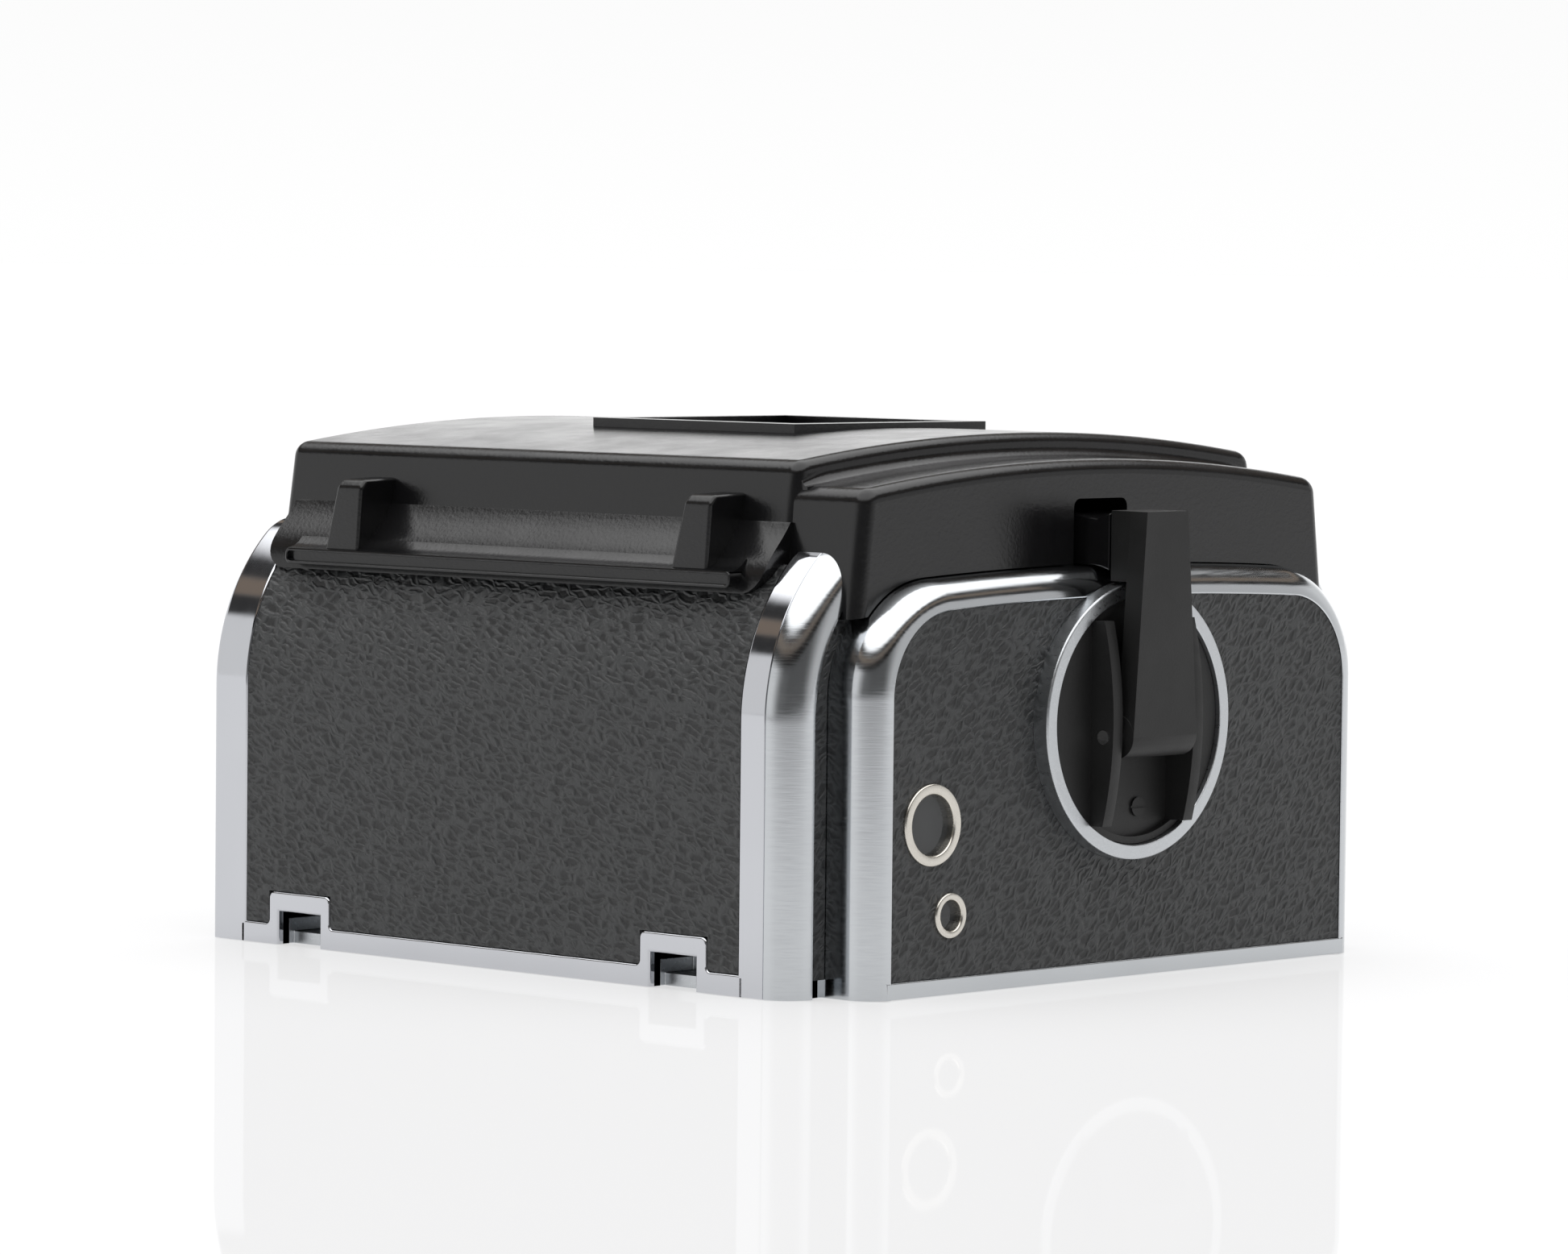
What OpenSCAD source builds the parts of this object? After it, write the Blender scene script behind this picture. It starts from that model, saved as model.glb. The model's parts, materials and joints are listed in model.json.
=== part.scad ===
// Roll-film magazine for a modular camera, lying on the face that mates with the camera.
// Lengths run from the main shell's corner: X along the spools, Y across them, Z away from the
// mating face. at_corner() moves them to the part's own origin, under the middle of the whole part.

/* [Main shell] */
// Length of the main shell along the spools
shell_l = 94.7; // [94:0.1:96]
// Width of the main shell across the spools
shell_w = 97.6; // [97:0.1:99]
// Radius of the shell's long shoulders
shoulder_r = 24.5; // [24:0.1:26]
// Height at which the shoulders start
shoulder_z = 30.2; // [29:0.1:31]
// Height of the shell's rim, where the rear cover sits
shell_top = 48; // [47.8:0.1:49]
// Radius at the top corners of the hoop at the key end
hoop_r = 7; // [6:0.5:7]
// Length of that hoop along the spools
hoop_l = 2.6; // [2.2:0.1:2.6]
// Wall of the shell
wall = 1.8; // [1.6:0.1:2]
// Radius of the chrome round at the shell's crank end
bead_r = 3.9; // [3.6:0.1:4.2]
// Thickness of the plate that meets the camera
plate_t = 3; // [2.8:0.1:3]

/* [Covering] */
// Depth of the recess for the covering
recess_d = 0.8; // [0.6:0.05:0.9]
// How far the covering lies below the chrome
skin_low = 0.15; // [0.1:0.05:0.3]
// Width of the chrome strip at the key end
trim_l = 6; // [5:0.1:7]
// End of the covering at the crank end
skin_end = 87; // [86:0.1:88]
// Height of the chrome strip along the mating face
strip_h = 2.4; // [2.2:0.1:3]

/* [Film gate and hooks] */
// Side of the square film gate
gate = 56; // [54:0.5:57]
// Middle of the gate along the spools
gate_x = 46.5; // [46:0.1:47]
// Distance between the two hook notches
notch_gap = 61.6; // [61.6:0.1:62]
// Width of a hook notch
notch_w = 7.2; // [7:0.1:7.6]
// Height of the top of a hook notch
notch_h = 3.9; // [3.6:0.1:4.2]

/* [Gear housing] */
// Outer plane of the gear housing
housing_x = 101; // [101:0.1:101.4]
// Distance of the housing's sides from the shell's sides
housing_in = 6.6; // [6.4:0.1:7]
// Height of the housing at its middle
housing_h = 46.8; // [46.6:0.1:47]
// Radius of the housing's two top corners
housing_r = 13; // [12:0.5:14]
// Radius of the round along the housing's edge
housing_bead = 3.5; // [3.3:0.1:3.6]

/* [Crank] */
// Height of the crank's axis
crank_z = 29.3; // [29:0.1:29.6]
// Outer radius of the fixed crank ring
ring_r = 15.8; // [15.6:0.1:16]
// Radius of the turning crank disc
disc_r = 14; // [13.6:0.1:14.1]
// Distance of the fold axis below the crank's axis
fold_drop = 1.5; // [1.4:0.1:1.8]
// Length of the arm from the fold axis to its tip
arm_l = 25.4; // [25:0.1:25.8]
// Width of the arm at the fold axis
arm_w = 11; // [10.6:0.1:11]
// Width of the arm at its tip
arm_tip_w = 7.1; // [6.8:0.1:7.4]

/* [Gears] */
// Module of the winding gears
wind_m = 0.8; // [0.8:0.1:0.8]
// Teeth of the crank gear
crank_teeth = 38; // [38:1:38]
// Teeth of the take-up gear
take_teeth = 24; // [24:1:24]
// Module of the counter gears
count_m = 0.6; // [0.6:0.1:0.6]
// Play between meshed flanks
backlash = 0.24; // [0.2:0.02:0.3]

/* [Spools and insert] */
// Height of both spool axes
spool_z = 31.8; // [31.4:0.1:32]
// Radius of the spool flanges
flange_r = 15.5; // [14.5:0.1:15.5]
// Width of film between the flanges
film_w = 72; // [70:0.5:72]

/* [Rear cover] */
// Top of the main cover at its middle
cover_top = 61.6; // [61.4:0.1:62]
// Top of the side cover at its middle
side_top = 58.8; // [58.4:0.1:59]
// Radius of the arched tops
arch_r = 270; // [250:5:320]
// Draft of the cover's long walls, as a shift from bottom to top
draft = 2; // [1.5:0.1:2.2]
// End of the main cover towards the crank
cover_end = 86.4; // [86:0.1:87]
// Outer plane of the side cover
side_x = 96.7; // [96.5:0.1:96.9]

/* [Hidden] */
$fn = 96;
eps = 0.01;

mid_y = shell_w / 2;
arm_front = 106.8;                   // outer face of the folded crank arm
handle_end = -13;                    // far end of the dark slide's handle
origin_x = (arm_front + handle_end) / 2;
end_in = shell_l - bead_r;           // inner face of the shell's crank end wall
end_out = 93.5;                      // outer face of that wall
sill_x = 88;                         // start of the sill that joins the shell's two sides
skin_out = end_out + 0.5;            // outer face of the covering around the housing
housing_skin = housing_x - skin_low; // outer face of the housing's covering
housing_plate = housing_x - 0.65;    // face that the housing's covering is glued to
housing_inner = 99;                  // inner face of the housing's plate
run = 0.05;                          // radial clearance of running fits

take_up_y = mid_y + sqrt(pow((crank_teeth + take_teeth) * wind_m / 2, 2) - pow(spool_z - crank_z, 2));
supply_y = shell_w - take_up_y;

counter_window = [16.3, 19];         // windows, as [Y, Z]
counter_window_r = 4.6;
status_window = [19.4, 8.8];
status_window_r = 2.55;
ring_w = 1.2;                        // width of the counter window's ring
status_ring_w = 0.85;

pinion_teeth = 12;
idler_teeth = 40;
idler_pinion_teeth = 10;
dial_teeth = 44;
dial_at = [24.8, 24];
crank_at = [mid_y, crank_z];
idler_at = apex(dial_at, crank_at, (dial_teeth + idler_pinion_teeth) * count_m / 2,
                (idler_teeth + pinion_teeth) * count_m / 2);
transport_at = [21.6, 7.4];
transport_teeth = 14;
layer_1 = [94.2, 95.8];              // winding gears, as a span in X
layer_2 = [96.2, 97.2];              // first counter stage and status disc
layer_3 = [97.4, 98.4];              // second counter stage and dial
stud_r = 1;

fold_x = 104.3;                      // fold axis of the crank
fold_z = crank_z - fold_drop;
heel_r = arm_front - fold_x;         // round heel of the arm
arm_back = 104.3;
ring_front = 103;
disc_face = 102.4;
disc_floor = 101.6;                  // floor between the two ribs
grip_in = 101.3;                     // inner end of the grip
grip_z = 45.2;
disc_back = 99.2;
screw_at = [mid_y + 1.2, crank_z - 9.9];

insert_in = 6;                       // inset of the insert's end plates from the shell's outline
insert_z = 6.2;
insert_top = 47;
plate_1 = [4.6, 6];                  // the insert's two end plates, as spans in X
plate_2 = [85.5, 87];
film_x = gate_x - film_w / 2;
flange_t = 1.2;
key_z = 28;
key_r = 13;
roller_r = 3;
roller_z = 9.4;
spring_z = [7.7, 10.4];

// Third corner of a triangle on a and b, ra from a and rb from b, below the line a-b
function apex(a, b, ra, rb) =
    let (d = b - a, l = norm(d), t = (ra * ra - rb * rb + l * l) / (2 * l), h = sqrt(ra * ra - t * t))
    a + t * d / l + h * [d[1], -d[0]] / l;

// Moves lengths from the shell's corner to the part's own origin
module at_corner() { translate([-origin_x, -mid_y, 0]) children(); }

// Extrudes a [Y, Z] outline from x0 to x1
module along_x(x0, x1) { translate([x0, 0, 0]) rotate([90, 0, 90]) linear_extrude(x1 - x0) children(); }

// Round bar along X at a [Y, Z] point
module bar_x(x0, x1, at, r) { along_x(x0, x1) translate(at) circle(r); }

// Round bar along Y through [X, Z]
module bar_y(y0, y1, at, r) {
    translate([at[0], y0, at[1]]) rotate([-90, 0, 0]) cylinder(h = y1 - y0, r = r);
}

// Box between two corners
module span(low, high) { translate(low) cube(high - low); }

// The shell's outline, drawn in by inset and cut off at top
module shell_outline(inset = 0, top = shell_top) {
    intersection() {
        union() {
            translate([inset, 0]) square([shell_w - 2 * inset, shoulder_z]);
            translate([shoulder_r, 0])
                square([shell_w - 2 * shoulder_r, shoulder_z + shoulder_r - inset]);
            for (y = [shoulder_r, shell_w - shoulder_r])
                translate([y, shoulder_z]) circle(shoulder_r - inset);
        }
        square([shell_w, top]);
    }
}

// The gear housing's outline, drawn in by inset
module housing_outline(inset = 0) {
    side = housing_in + inset;
    corner_z = housing_h - 1 - housing_r;
    intersection() {
        union() {
            translate([side, 0]) square([shell_w - 2 * side, corner_z]);
            translate([housing_in + housing_r, 0])
                square([shell_w - 2 * (housing_in + housing_r), housing_h]);
            for (y = [housing_in + housing_r, shell_w - housing_in - housing_r])
                translate([y, corner_z]) circle(housing_r - inset);
        }
        translate([mid_y, housing_h - 2 * arch_r]) circle(2 * arch_r - inset, $fn = 720);
        square([shell_w, housing_h]);
    }
}

// Drafted wall outline with an arched top; in0 is its inset from the shell's sides at z0
module cover_outline(z0, in0, top, inset = 0) {
    lean = draft / (top - z0);
    intersection() {
        polygon([[in0 + inset, z0], [shell_w - in0 - inset, z0],
                 [shell_w - in0 - inset - lean * (top - z0), top],
                 [in0 + inset + lean * (top - z0), top]]);
        translate([mid_y, top - arch_r]) circle(arch_r - inset, $fn = 720);
    }
}

// Slices that step round a quarter circle of radius r, ending at x1: each gives an inset outline
module rounded_end(x1, r, steps) {
    for (i = [0 : steps - 1]) {
        a = 90 * i / steps;
        b = 90 * (i + 1) / steps;
        $inset = r * (1 - cos(a));
        along_x(x1 - r + r * sin(a), x1 - r + r * sin(b)) children();
    }
}

// Straight-flanked spur gear outline
module gear_outline(teeth, m) {
    pitch = teeth * m / 2;
    tip = pitch + 0.9 * m;
    root = pitch - 1.25 * m;
    half = (PI * m / 2 - backlash) / 2;
    flank = tan(20);
    tip_a = (half - 0.9 * m * flank) / tip * 180 / PI;
    root_a = (half + 1.1 * m * flank) / root * 180 / PI;
    polygon([for (i = [0 : teeth - 1], s = [[root, -root_a], [tip, -tip_a], [tip, tip_a], [root, root_a]])
        let (a = 360 * i / teeth + s[1]) s[0] * [cos(a), sin(a)]]);
}

// Gear on an X axis; turn lines its teeth up with its mate
module gear_x(span_x, at, teeth, m, bore, turn = 0) {
    along_x(span_x[0], span_x[1]) translate(at) difference() {
        rotate(turn) gear_outline(teeth, m);
        circle(bore);
    }
}

// Angle from a to b in the [Y, Z] plane
function heading(a, b) = atan2(b[1] - a[1], b[0] - a[0]);

// Turn of a gear at b that meshes with one at a whose own turn is turn_a
function mesh_turn(a, b, teeth_a, teeth_b, turn_a) =
    let (h = heading(a, b)) h + 180 + 180 / teeth_b - (turn_a - h) * teeth_a / teeth_b;

idler_turn = mesh_turn(crank_at, idler_at, pinion_teeth, idler_teeth, 0);
dial_turn = mesh_turn(idler_at, dial_at, idler_pinion_teeth, dial_teeth, 0);
take_up_turn = mesh_turn(crank_at, [take_up_y, spool_z], crank_teeth, take_teeth, 0);

module notch_places() { for (s = [-1, 1]) translate([gate_x - 0.4 + s * notch_gap / 2, 0, 0]) children(); }

// Outline of the hoop that closes the shell over the top at its key end, drawn in by inset
module hoop_outline(inset = 0) {
    rim_a = asin((shell_top - shoulder_z) / shoulder_r);
    reach = shoulder_r - hoop_r;
    centre = [shoulder_r - reach * cos(rim_a), shoulder_z + reach * sin(rim_a)];
    for (y = [centre[0], shell_w - centre[0]]) translate([y, centre[1]]) circle(hoop_r - inset);
    translate(centre) square([shell_w - 2 * centre[0], hoop_r - inset]);
}

module main_shell() {
    color("silver") at_corner() along_x(0, hoop_l) intersection() {
        difference() {
            hoop_outline();
            hoop_outline(wall);
        }
        translate([0, shell_top - eps]) square([shell_w, 4]);
    }
    color("silver") at_corner() difference() {
        along_x(0, end_in) shell_outline();
        along_x(-eps, sill_x) translate([0, -eps]) shell_outline(wall, shell_top + 1);
        along_x(sill_x - eps, end_in + eps) intersection() {
            shell_outline(wall, shell_top + 1);
            translate([0, plate_t]) square([shell_w, shell_top]);
        }
        along_x(trim_l, skin_end) difference() {
            translate([0, strip_h]) square([shell_w, shell_top]);
            shell_outline(recess_d, shell_top + 1);
        }
        notch_places() span([-notch_w / 2, -eps, -eps], [notch_w / 2, wall + eps, notch_h]);
        span([38, shell_w - wall - eps, 11], [58, shell_w + eps, 17]);
    }
}

// Round rim and end wall towards the crank, one casting with the bearings of the drive
module shell_end_frame() {
    color("silver") at_corner() difference() {
        rounded_end(shell_l, bead_r, 5) shell_outline($inset);
        along_x(end_out, shell_l + eps) translate([0, -eps]) shell_outline(bead_r, shell_top + 1);
        bar_x(end_in - eps, end_out + eps, [take_up_y, spool_z], 3 + run);
        bar_x(end_in - eps, end_out + eps, crank_at, 2 + run);
    }
}

module front_plate() {
    color("darkgray") at_corner() difference() {
        span([4, wall, 0], [sill_x, shell_w - wall, plate_t]);
        span([gate_x - gate / 2, mid_y - gate / 2, -eps], [gate_x + gate / 2, mid_y + gate / 2, 4]);
        notch_places() {
            span([-notch_w / 2, wall - eps, -eps], [notch_w / 2, wall + 0.8, plate_t + eps]);
            span([-notch_w / 2, wall - eps, 1.4], [notch_w / 2, 7, plate_t + eps]);
        }
        for (x = [24, 62]) span([x, 92, -eps], [x + 9, 95.6, plate_t + eps]);
        front_screw_places() {
            cylinder(h = 10, r = 0.9, center = true);
            cylinder(h = 2.8, r = 1.7, center = true);
        }
    }
}

module front_screw_places() {
    for (x = [7, gate_x, 86], y = [5.2, 89.6]) translate([x, y, 0]) children();
}

module front_screws() {
    color("silver") at_corner() front_screw_places() difference() {
        union() {
            translate([0, 0, 0.1]) cylinder(h = 1.3, r = 1.7);
            translate([0, 0, 1.4]) cylinder(h = plate_t - 1.4, r = 0.9);
        }
        span([-2, -0.2, 0], [2, 0.2, 0.5]);
    }
}

module light_trap() {
    color("dimgray") at_corner() difference() {
        span([0, wall, 0], [4, shell_w - wall, 5.4]);
        span([-eps, 17.1, 3.1], [4 + eps, 80.5, 4.2]);
    }
}

module gate_frame() {
    color("dimgray") at_corner() difference() {
        union() {
            span([5, 8, 4.3], [88, shell_w - 8, 5.3]);
            for (y = [8, shell_w - 16.6]) span([5, y, plate_t], [88, y + 8.6, 4.3]);
        }
        span([gate_x - gate / 2, mid_y - gate / 2, 0], [gate_x + gate / 2, mid_y + gate / 2, 6]);
    }
}

module shell_leather(low_y, high_y) {
    difference() {
        along_x(trim_l, skin_end) intersection() {
            difference() {
                shell_outline(skin_low);
                shell_outline(recess_d, shell_top + 1);
            }
            translate([low_y, strip_h]) square([high_y - low_y, shell_top - 0.5 - strip_h]);
        }
        children();
    }
}

module bottom_leather() {
    color("#222222") at_corner() shell_leather(0, mid_y)
        notch_places() span([-5.25, -1, 0], [5.25, 1, 6.2]);
}

module top_leather() {
    color("#222222") at_corner() shell_leather(mid_y, shell_w)
        span([36, shell_w - 1, 9], [60, shell_w + 1, 19]);
}

module margin_leather() {
    color("#222222") at_corner() along_x(end_out, skin_out) difference() {
        translate([0, 2]) intersection() {
            translate([0, -2]) shell_outline(bead_r + 0.1, shell_top - 0.5);
            square([shell_w, shell_top]);
        }
        translate([0, -eps]) housing_outline(-0.1);
        translate([housing_in + 4, 0]) square([shell_w - 2 * housing_in - 8, shell_top + 1]);
    }
}

module notch_frames() {
    color("silver") at_corner() notch_places() difference() {
        span([-5.25, 0, strip_h], [5.25, recess_d, 6.2]);
        span([-notch_w / 2, -eps, 0], [notch_w / 2, 1, notch_h]);
    }
}

module gear_housing() {
    color("silver") at_corner() difference() {
        union() {
            along_x(end_out, housing_x - housing_bead) housing_outline();
            rounded_end(housing_x, housing_bead, 5) housing_outline($inset);
        }
        along_x(end_out - eps, housing_inner) intersection() {
            housing_outline(2);
            translate([0, 1.5]) square([shell_w, housing_h]);
        }
        along_x(housing_plate, housing_x + eps) housing_skin_outline();
        bar_x(end_out - eps, layer_1[1] + 0.2, crank_at, crank_teeth * wind_m / 2 + wind_m + 0.3);
        bar_x(housing_inner - eps, housing_x + eps, crank_at, ring_r);
        bar_x(housing_inner - eps, housing_x + eps, counter_window, counter_window_r);
        bar_x(housing_inner - eps, housing_x + eps, status_window, status_window_r);
        span([layer_1[0] - 0.3, transport_at[0] - 4.5, -eps], [layer_1[1] + 0.3, transport_at[0] + 4.5, 1.6]);
    }
}

module housing_skin_outline() {
    intersection() {
        housing_outline(3.3);
        translate([0, 1.9]) square([shell_w, housing_h]);
    }
}

module side_leather() {
    color("#222222") at_corner() difference() {
        along_x(housing_plate, housing_skin) housing_skin_outline();
        bar_x(housing_plate - 1, housing_x + 1, crank_at, ring_r);
        bar_x(housing_plate - 1, housing_x + 1, counter_window, counter_window_r);
        bar_x(housing_plate - 1, housing_x + 1, status_window, status_window_r);
    }
}

module ring_x(x0, x1, at, r, w) {
    along_x(x0, x1) translate(at) difference() { circle(r); circle(r - w); }
}

module crank_ring() {
    color("silver") at_corner() ring_x(housing_inner, ring_front, crank_at, ring_r, ring_r - disc_r - run);
}

module counter_window_ring() {
    color("lightgray") at_corner() ring_x(99.2, 101.2, counter_window, counter_window_r, ring_w);
}

module status_window_ring() {
    color("lightgray") at_corner() ring_x(99.2, 101.2, status_window, status_window_r, status_ring_w);
}

module counter_glass() {
    color("lightblue", 0.4) at_corner() bar_x(99.4, 100.2, counter_window, counter_window_r - ring_w);
}

module status_glass() {
    color("lightblue", 0.4) at_corner() bar_x(99.4, 100.2, status_window, status_window_r - status_ring_w);
}

module gear_studs() {
    color("gray") at_corner() {
        bar_x(layer_2[0] - 0.1, housing_inner, idler_at, stud_r);
        bar_x(layer_3[0] - 0.1, housing_inner, dial_at, stud_r);
        bar_x(layer_1[0] - 0.2, housing_inner, transport_at, stud_r);
    }
}

module rounded_box(low, high, r) {
    hull() for (x = [low[0] + r, high[0] - r], z = [low[1] + r, high[1] - r])
        translate([x, z]) circle(r, $fn = 32);
}

module rear_cover() {
    crease_z = 52.1;
    bar_z = [44.8, 46.7];
    bar_y = 2.5;
    bar_x0 = 9.7;
    bar_x1 = 82.7;
    skirt_x = [4.8, 86];
    skirt_z = 44.2;
    skirt_r = 3;
    skirt_profile = [[3.9, skirt_z], [4.05, 45], [4.35, 46], [4.8, 47], [5.45, 48], [6.3, 49], [7.2, 50],
                     [8.05, 51], [8.8, crease_z]];
    color("#1a1a1a") at_corner() {
        difference() {
            along_x(2.7, cover_end) cover_outline(shell_top, 8.2, cover_top);
            along_x(4.7, cover_end - 2) translate([0, -eps]) cover_outline(shell_top, 8.2, cover_top, 2);
        }
        // Flared skirt over the shell's shoulder
        intersection() {
            along_x(0, cover_end) difference() {
                polygon(concat(skirt_profile, [[9.4, crease_z], [9.4, skirt_z]]));
                shell_outline(0, 60);
                polygon([[8.2, shell_top], [8.2 + draft, cover_top], [30, cover_top], [30, shell_top]]);
            }
            rotate([90, 0, 0]) translate([0, 0, -40]) linear_extrude(80) hull() {
                for (x = [skirt_x[0] + skirt_r, skirt_x[1] - skirt_r])
                    translate([x, skirt_z + skirt_r]) circle(skirt_r);
                translate([skirt_x[0], crease_z]) square([skirt_x[1] - skirt_x[0], 1]);
            }
        }
        // Ledge along the skirt's foot, with a groove that stops short of both ends
        difference() {
            intersection() {
                along_x(bar_x0, bar_x1) difference() {
                    translate([bar_y, bar_z[0]]) square([4, bar_z[1] - bar_z[0]]);
                    shell_outline(0, 60);
                }
                rotate([90, 0, 0]) translate([0, 0, -40]) linear_extrude(80)
                    rounded_box([bar_x0, bar_z[0]], [bar_x1, bar_z[1]], 0.6);
            }
            rotate([90, 0, 0]) translate([0, 0, -bar_y - 0.6]) linear_extrude(2)
                rounded_box([bar_x0 + 0.4, bar_z[0] + 0.4], [bar_x1 - 0.4, bar_z[1] - 0.4], 0.3);
        }
        // Two lugs that stand on the ledge
        for (x = [18.4, 75.4]) intersection() {
            along_x(x - 4, x + 4) difference() {
                polygon([[3.5, bar_z[1] - 0.5], [3.7, 53.9], [4.5, 54.9], [12, 55.2], [12, bar_z[1] - 0.5]]);
                shell_outline(0, 60);
                polygon([[8.2, shell_top], [8.2 + draft, cover_top], [30, cover_top], [30, shell_top]]);
            }
            rotate([90, 0, 0]) translate([x, 0, -40]) linear_extrude(80)
                polygon([[-2.9, bar_z[1] - 1], [2.8, bar_z[1] - 1], [3.2, 55.4], [-0.7, 55.4]]);
        }
    }
}

module side_cover() {
    side_in = 8;
    side_low = 41.7;
    color("#1a1a1a") at_corner() difference() {
        union() {
            along_x(cover_end, shell_l) intersection() {
                cover_outline(side_low, side_in, side_top);
                translate([0, shell_top]) square([shell_w, side_top]);
            }
            along_x(shell_l, side_x) cover_outline(side_low, side_in, side_top);
        }
        along_x(cover_end - eps, side_x - 2) intersection() {
            cover_outline(side_low, side_in, side_top, 2);
            translate([0, shell_top - 1]) square([shell_w, side_top]);
        }
        along_x(shell_l - eps, side_x + eps) housing_outline(-0.1);
        span([shell_l - 3, mid_y - 4.6, housing_h - 4], [side_x + 1, mid_y + 4.6, 54.4]);
    }
}

module memo_frame() {
    x0 = 31.1;
    side = 33;
    edge = 2.6;
    color("#151515") at_corner() difference() {
        span([x0, mid_y - side / 2, cover_top - 1.2], [x0 + side, mid_y + side / 2, cover_top + 0.6]);
        span([x0 + edge, mid_y - side / 2 + edge, 0], [x0 + side - edge, mid_y + side / 2 - edge, 70]);
        bar_x(0, shell_l, [mid_y, cover_top - arch_r], arch_r, $fn = 720);
    }
}

// Block in the side cover's slot, where the folded grip rests
module crank_rest() {
    color("#151515") at_corner() intersection() {
        span([shell_l - 0.5, mid_y - 3.4, 40], [housing_x, mid_y + 3.4, 60]);
        rotate([90, 0, 0]) translate([0, 0, -80]) linear_extrude(160)
            polygon([[94, 46.85], [98.7, 46.85], [99.7, 46.7], [housing_x, 46.3],
                     [housing_x, 52.9], [99, 52.2], [94, 52.9]]);
    }
}

module latch_spring() {
    color("gray") at_corner() for (x = [12 : 1.25 : 20.8])
        translate([x, 93.8, 6.2]) rotate([0, 90, 0]) rotate_extrude()
            translate([1.1, 0]) circle(0.3, $fn = 24);
}

module crank_disc() {
    rib = [6.2, 7.8];
    rib_front = 105.8;
    rib_arch = 46;
    color("#151515") at_corner() difference() {
        union() {
            bar_x(disc_back, disc_face, crank_at, disc_r);
            for (s = [0, 1]) translate([0, mid_y, 0]) mirror([0, s, 0]) intersection() {
                span([disc_floor, rib[0], crank_z - 11.6], [rib_front, rib[1], crank_z + 11.6]);
                bar_y(rib[0], rib[1], [rib_front - rib_arch, crank_z], rib_arch);
            }
        }
        intersection() {
            span([disc_floor, mid_y - rib[0], 0], [disc_face + eps, mid_y + rib[0], 60]);
            bar_x(disc_floor, disc_face + eps, crank_at, disc_r - 0.8);
        }
        bar_x(99, 100.1, crank_at, 2);
        bar_x(disc_floor - 1, disc_floor + eps, screw_at, 0.8);
        bar_y(mid_y - 9, mid_y + 9, [fold_x, fold_z], 0.8);
    }
}

module crank_screw() {
    color("dimgray") at_corner() difference() {
        union() {
            bar_x(disc_floor - 1, disc_floor, screw_at, 0.8);
            bar_x(disc_floor, disc_floor + 0.3, screw_at, 1.1);
        }
        span([disc_floor + 0.15, screw_at[0] - 2, screw_at[1] - 0.15],
             [disc_floor + 1, screw_at[0] + 2, screw_at[1] + 0.15]);
    }
}

module crank_shaft() { color("gray") at_corner() bar_x(end_in + 0.3, 100, crank_at, 2); }

module crank_gear() { color("goldenrod") at_corner() gear_x(layer_1, crank_at, crank_teeth, wind_m, 2); }

module crank_pinion() { color("gray") at_corner() gear_x(layer_2, crank_at, pinion_teeth, count_m, 2); }

module crank_pin() { color("dimgray") at_corner() bar_y(mid_y - 7.9, mid_y + 7.9, [fold_x, fold_z], 0.8); }

module crank_arm() {
    color("#151515") at_corner() difference() {
        union() {
            along_x(arm_back, arm_front) polygon([
                [mid_y - arm_w / 2, fold_z], [mid_y + arm_w / 2, fold_z],
                [mid_y + arm_tip_w / 2, fold_z + arm_l], [mid_y - arm_tip_w / 2, fold_z + arm_l]]);
            bar_y(mid_y - arm_w / 2, mid_y + arm_w / 2, [fold_x, fold_z], heel_r);
            span([grip_in, mid_y - 3.4, grip_z], [arm_back + eps, mid_y + 3.4, fold_z + arm_l]);
        }
        bar_y(mid_y - arm_w, mid_y + arm_w, [fold_x, fold_z], 0.8 + run);
    }
}

module take_up_gear() {
    color("goldenrod") at_corner() gear_x(layer_1, [take_up_y, spool_z], take_teeth, wind_m, 3, take_up_turn);
}

module take_up_dog() {
    color("gray") at_corner() {
        bar_x(88.4, 90.4, [take_up_y, spool_z], 4.2);
        bar_x(90.4 - eps, 96, [take_up_y, spool_z], 3);
        span([84.8, take_up_y - 0.7, spool_z - 2.8], [88.4 + eps, take_up_y + 0.7, spool_z + 2.8]);
    }
}

module idler_gear() {
    color("goldenrod") at_corner() gear_x(layer_2, idler_at, idler_teeth, count_m, stud_r + run, idler_turn);
}

module idler_pinion() {
    color("gray") at_corner()
        gear_x([layer_2[1], layer_3[1]], idler_at, idler_pinion_teeth, count_m, stud_r + run);
}

module counter_dial() {
    color("white") at_corner() gear_x(layer_3, dial_at, dial_teeth, count_m, stud_r + run, dial_turn);
}

module transport_gear() {
    color("goldenrod") at_corner() gear_x(layer_1, transport_at, transport_teeth, wind_m, stud_r + run);
}

module status_disc() {
    color("white") at_corner() {
        ring_x(layer_1[1], layer_2[0], transport_at, 2.4, 2.4 - stud_r - run);
        ring_x(layer_2[0], layer_2[1], transport_at, 4.6, 4.6 - stud_r - run);
    }
}

module insert_frame() {
    color("darkgray") at_corner() difference() {
        union() {
            for (p = [plate_1, plate_2]) along_x(p[0], p[1]) intersection() {
                shell_outline(insert_in, insert_top);
                translate([0, insert_z]) square([shell_w, insert_top]);
            }
            span([plate_1[1] - eps, 18, spring_z[1]], [plate_2[0] + eps, shell_w - 18, spring_z[1] + 1.2]);
            for (y = [insert_in, shell_w - insert_in - 1.4])
                span([plate_1[1] - eps, y, 13], [plate_2[0] + eps, y + 1.4, 24]);
        }
        for (y = [supply_y, take_up_y]) {
            bar_x(plate_1[0] - eps, plate_1[1] + eps, [y, spool_z], 2.5);
            bar_x(plate_2[0] - eps, plate_2[1] + eps, [y, spool_z], 3.5 + run);
        }
        for (y = [14, shell_w - 14], p = [plate_1, plate_2])
            bar_x(p[0] - eps, p[1] + eps, [y, roller_z], 1);
    }
}

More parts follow.
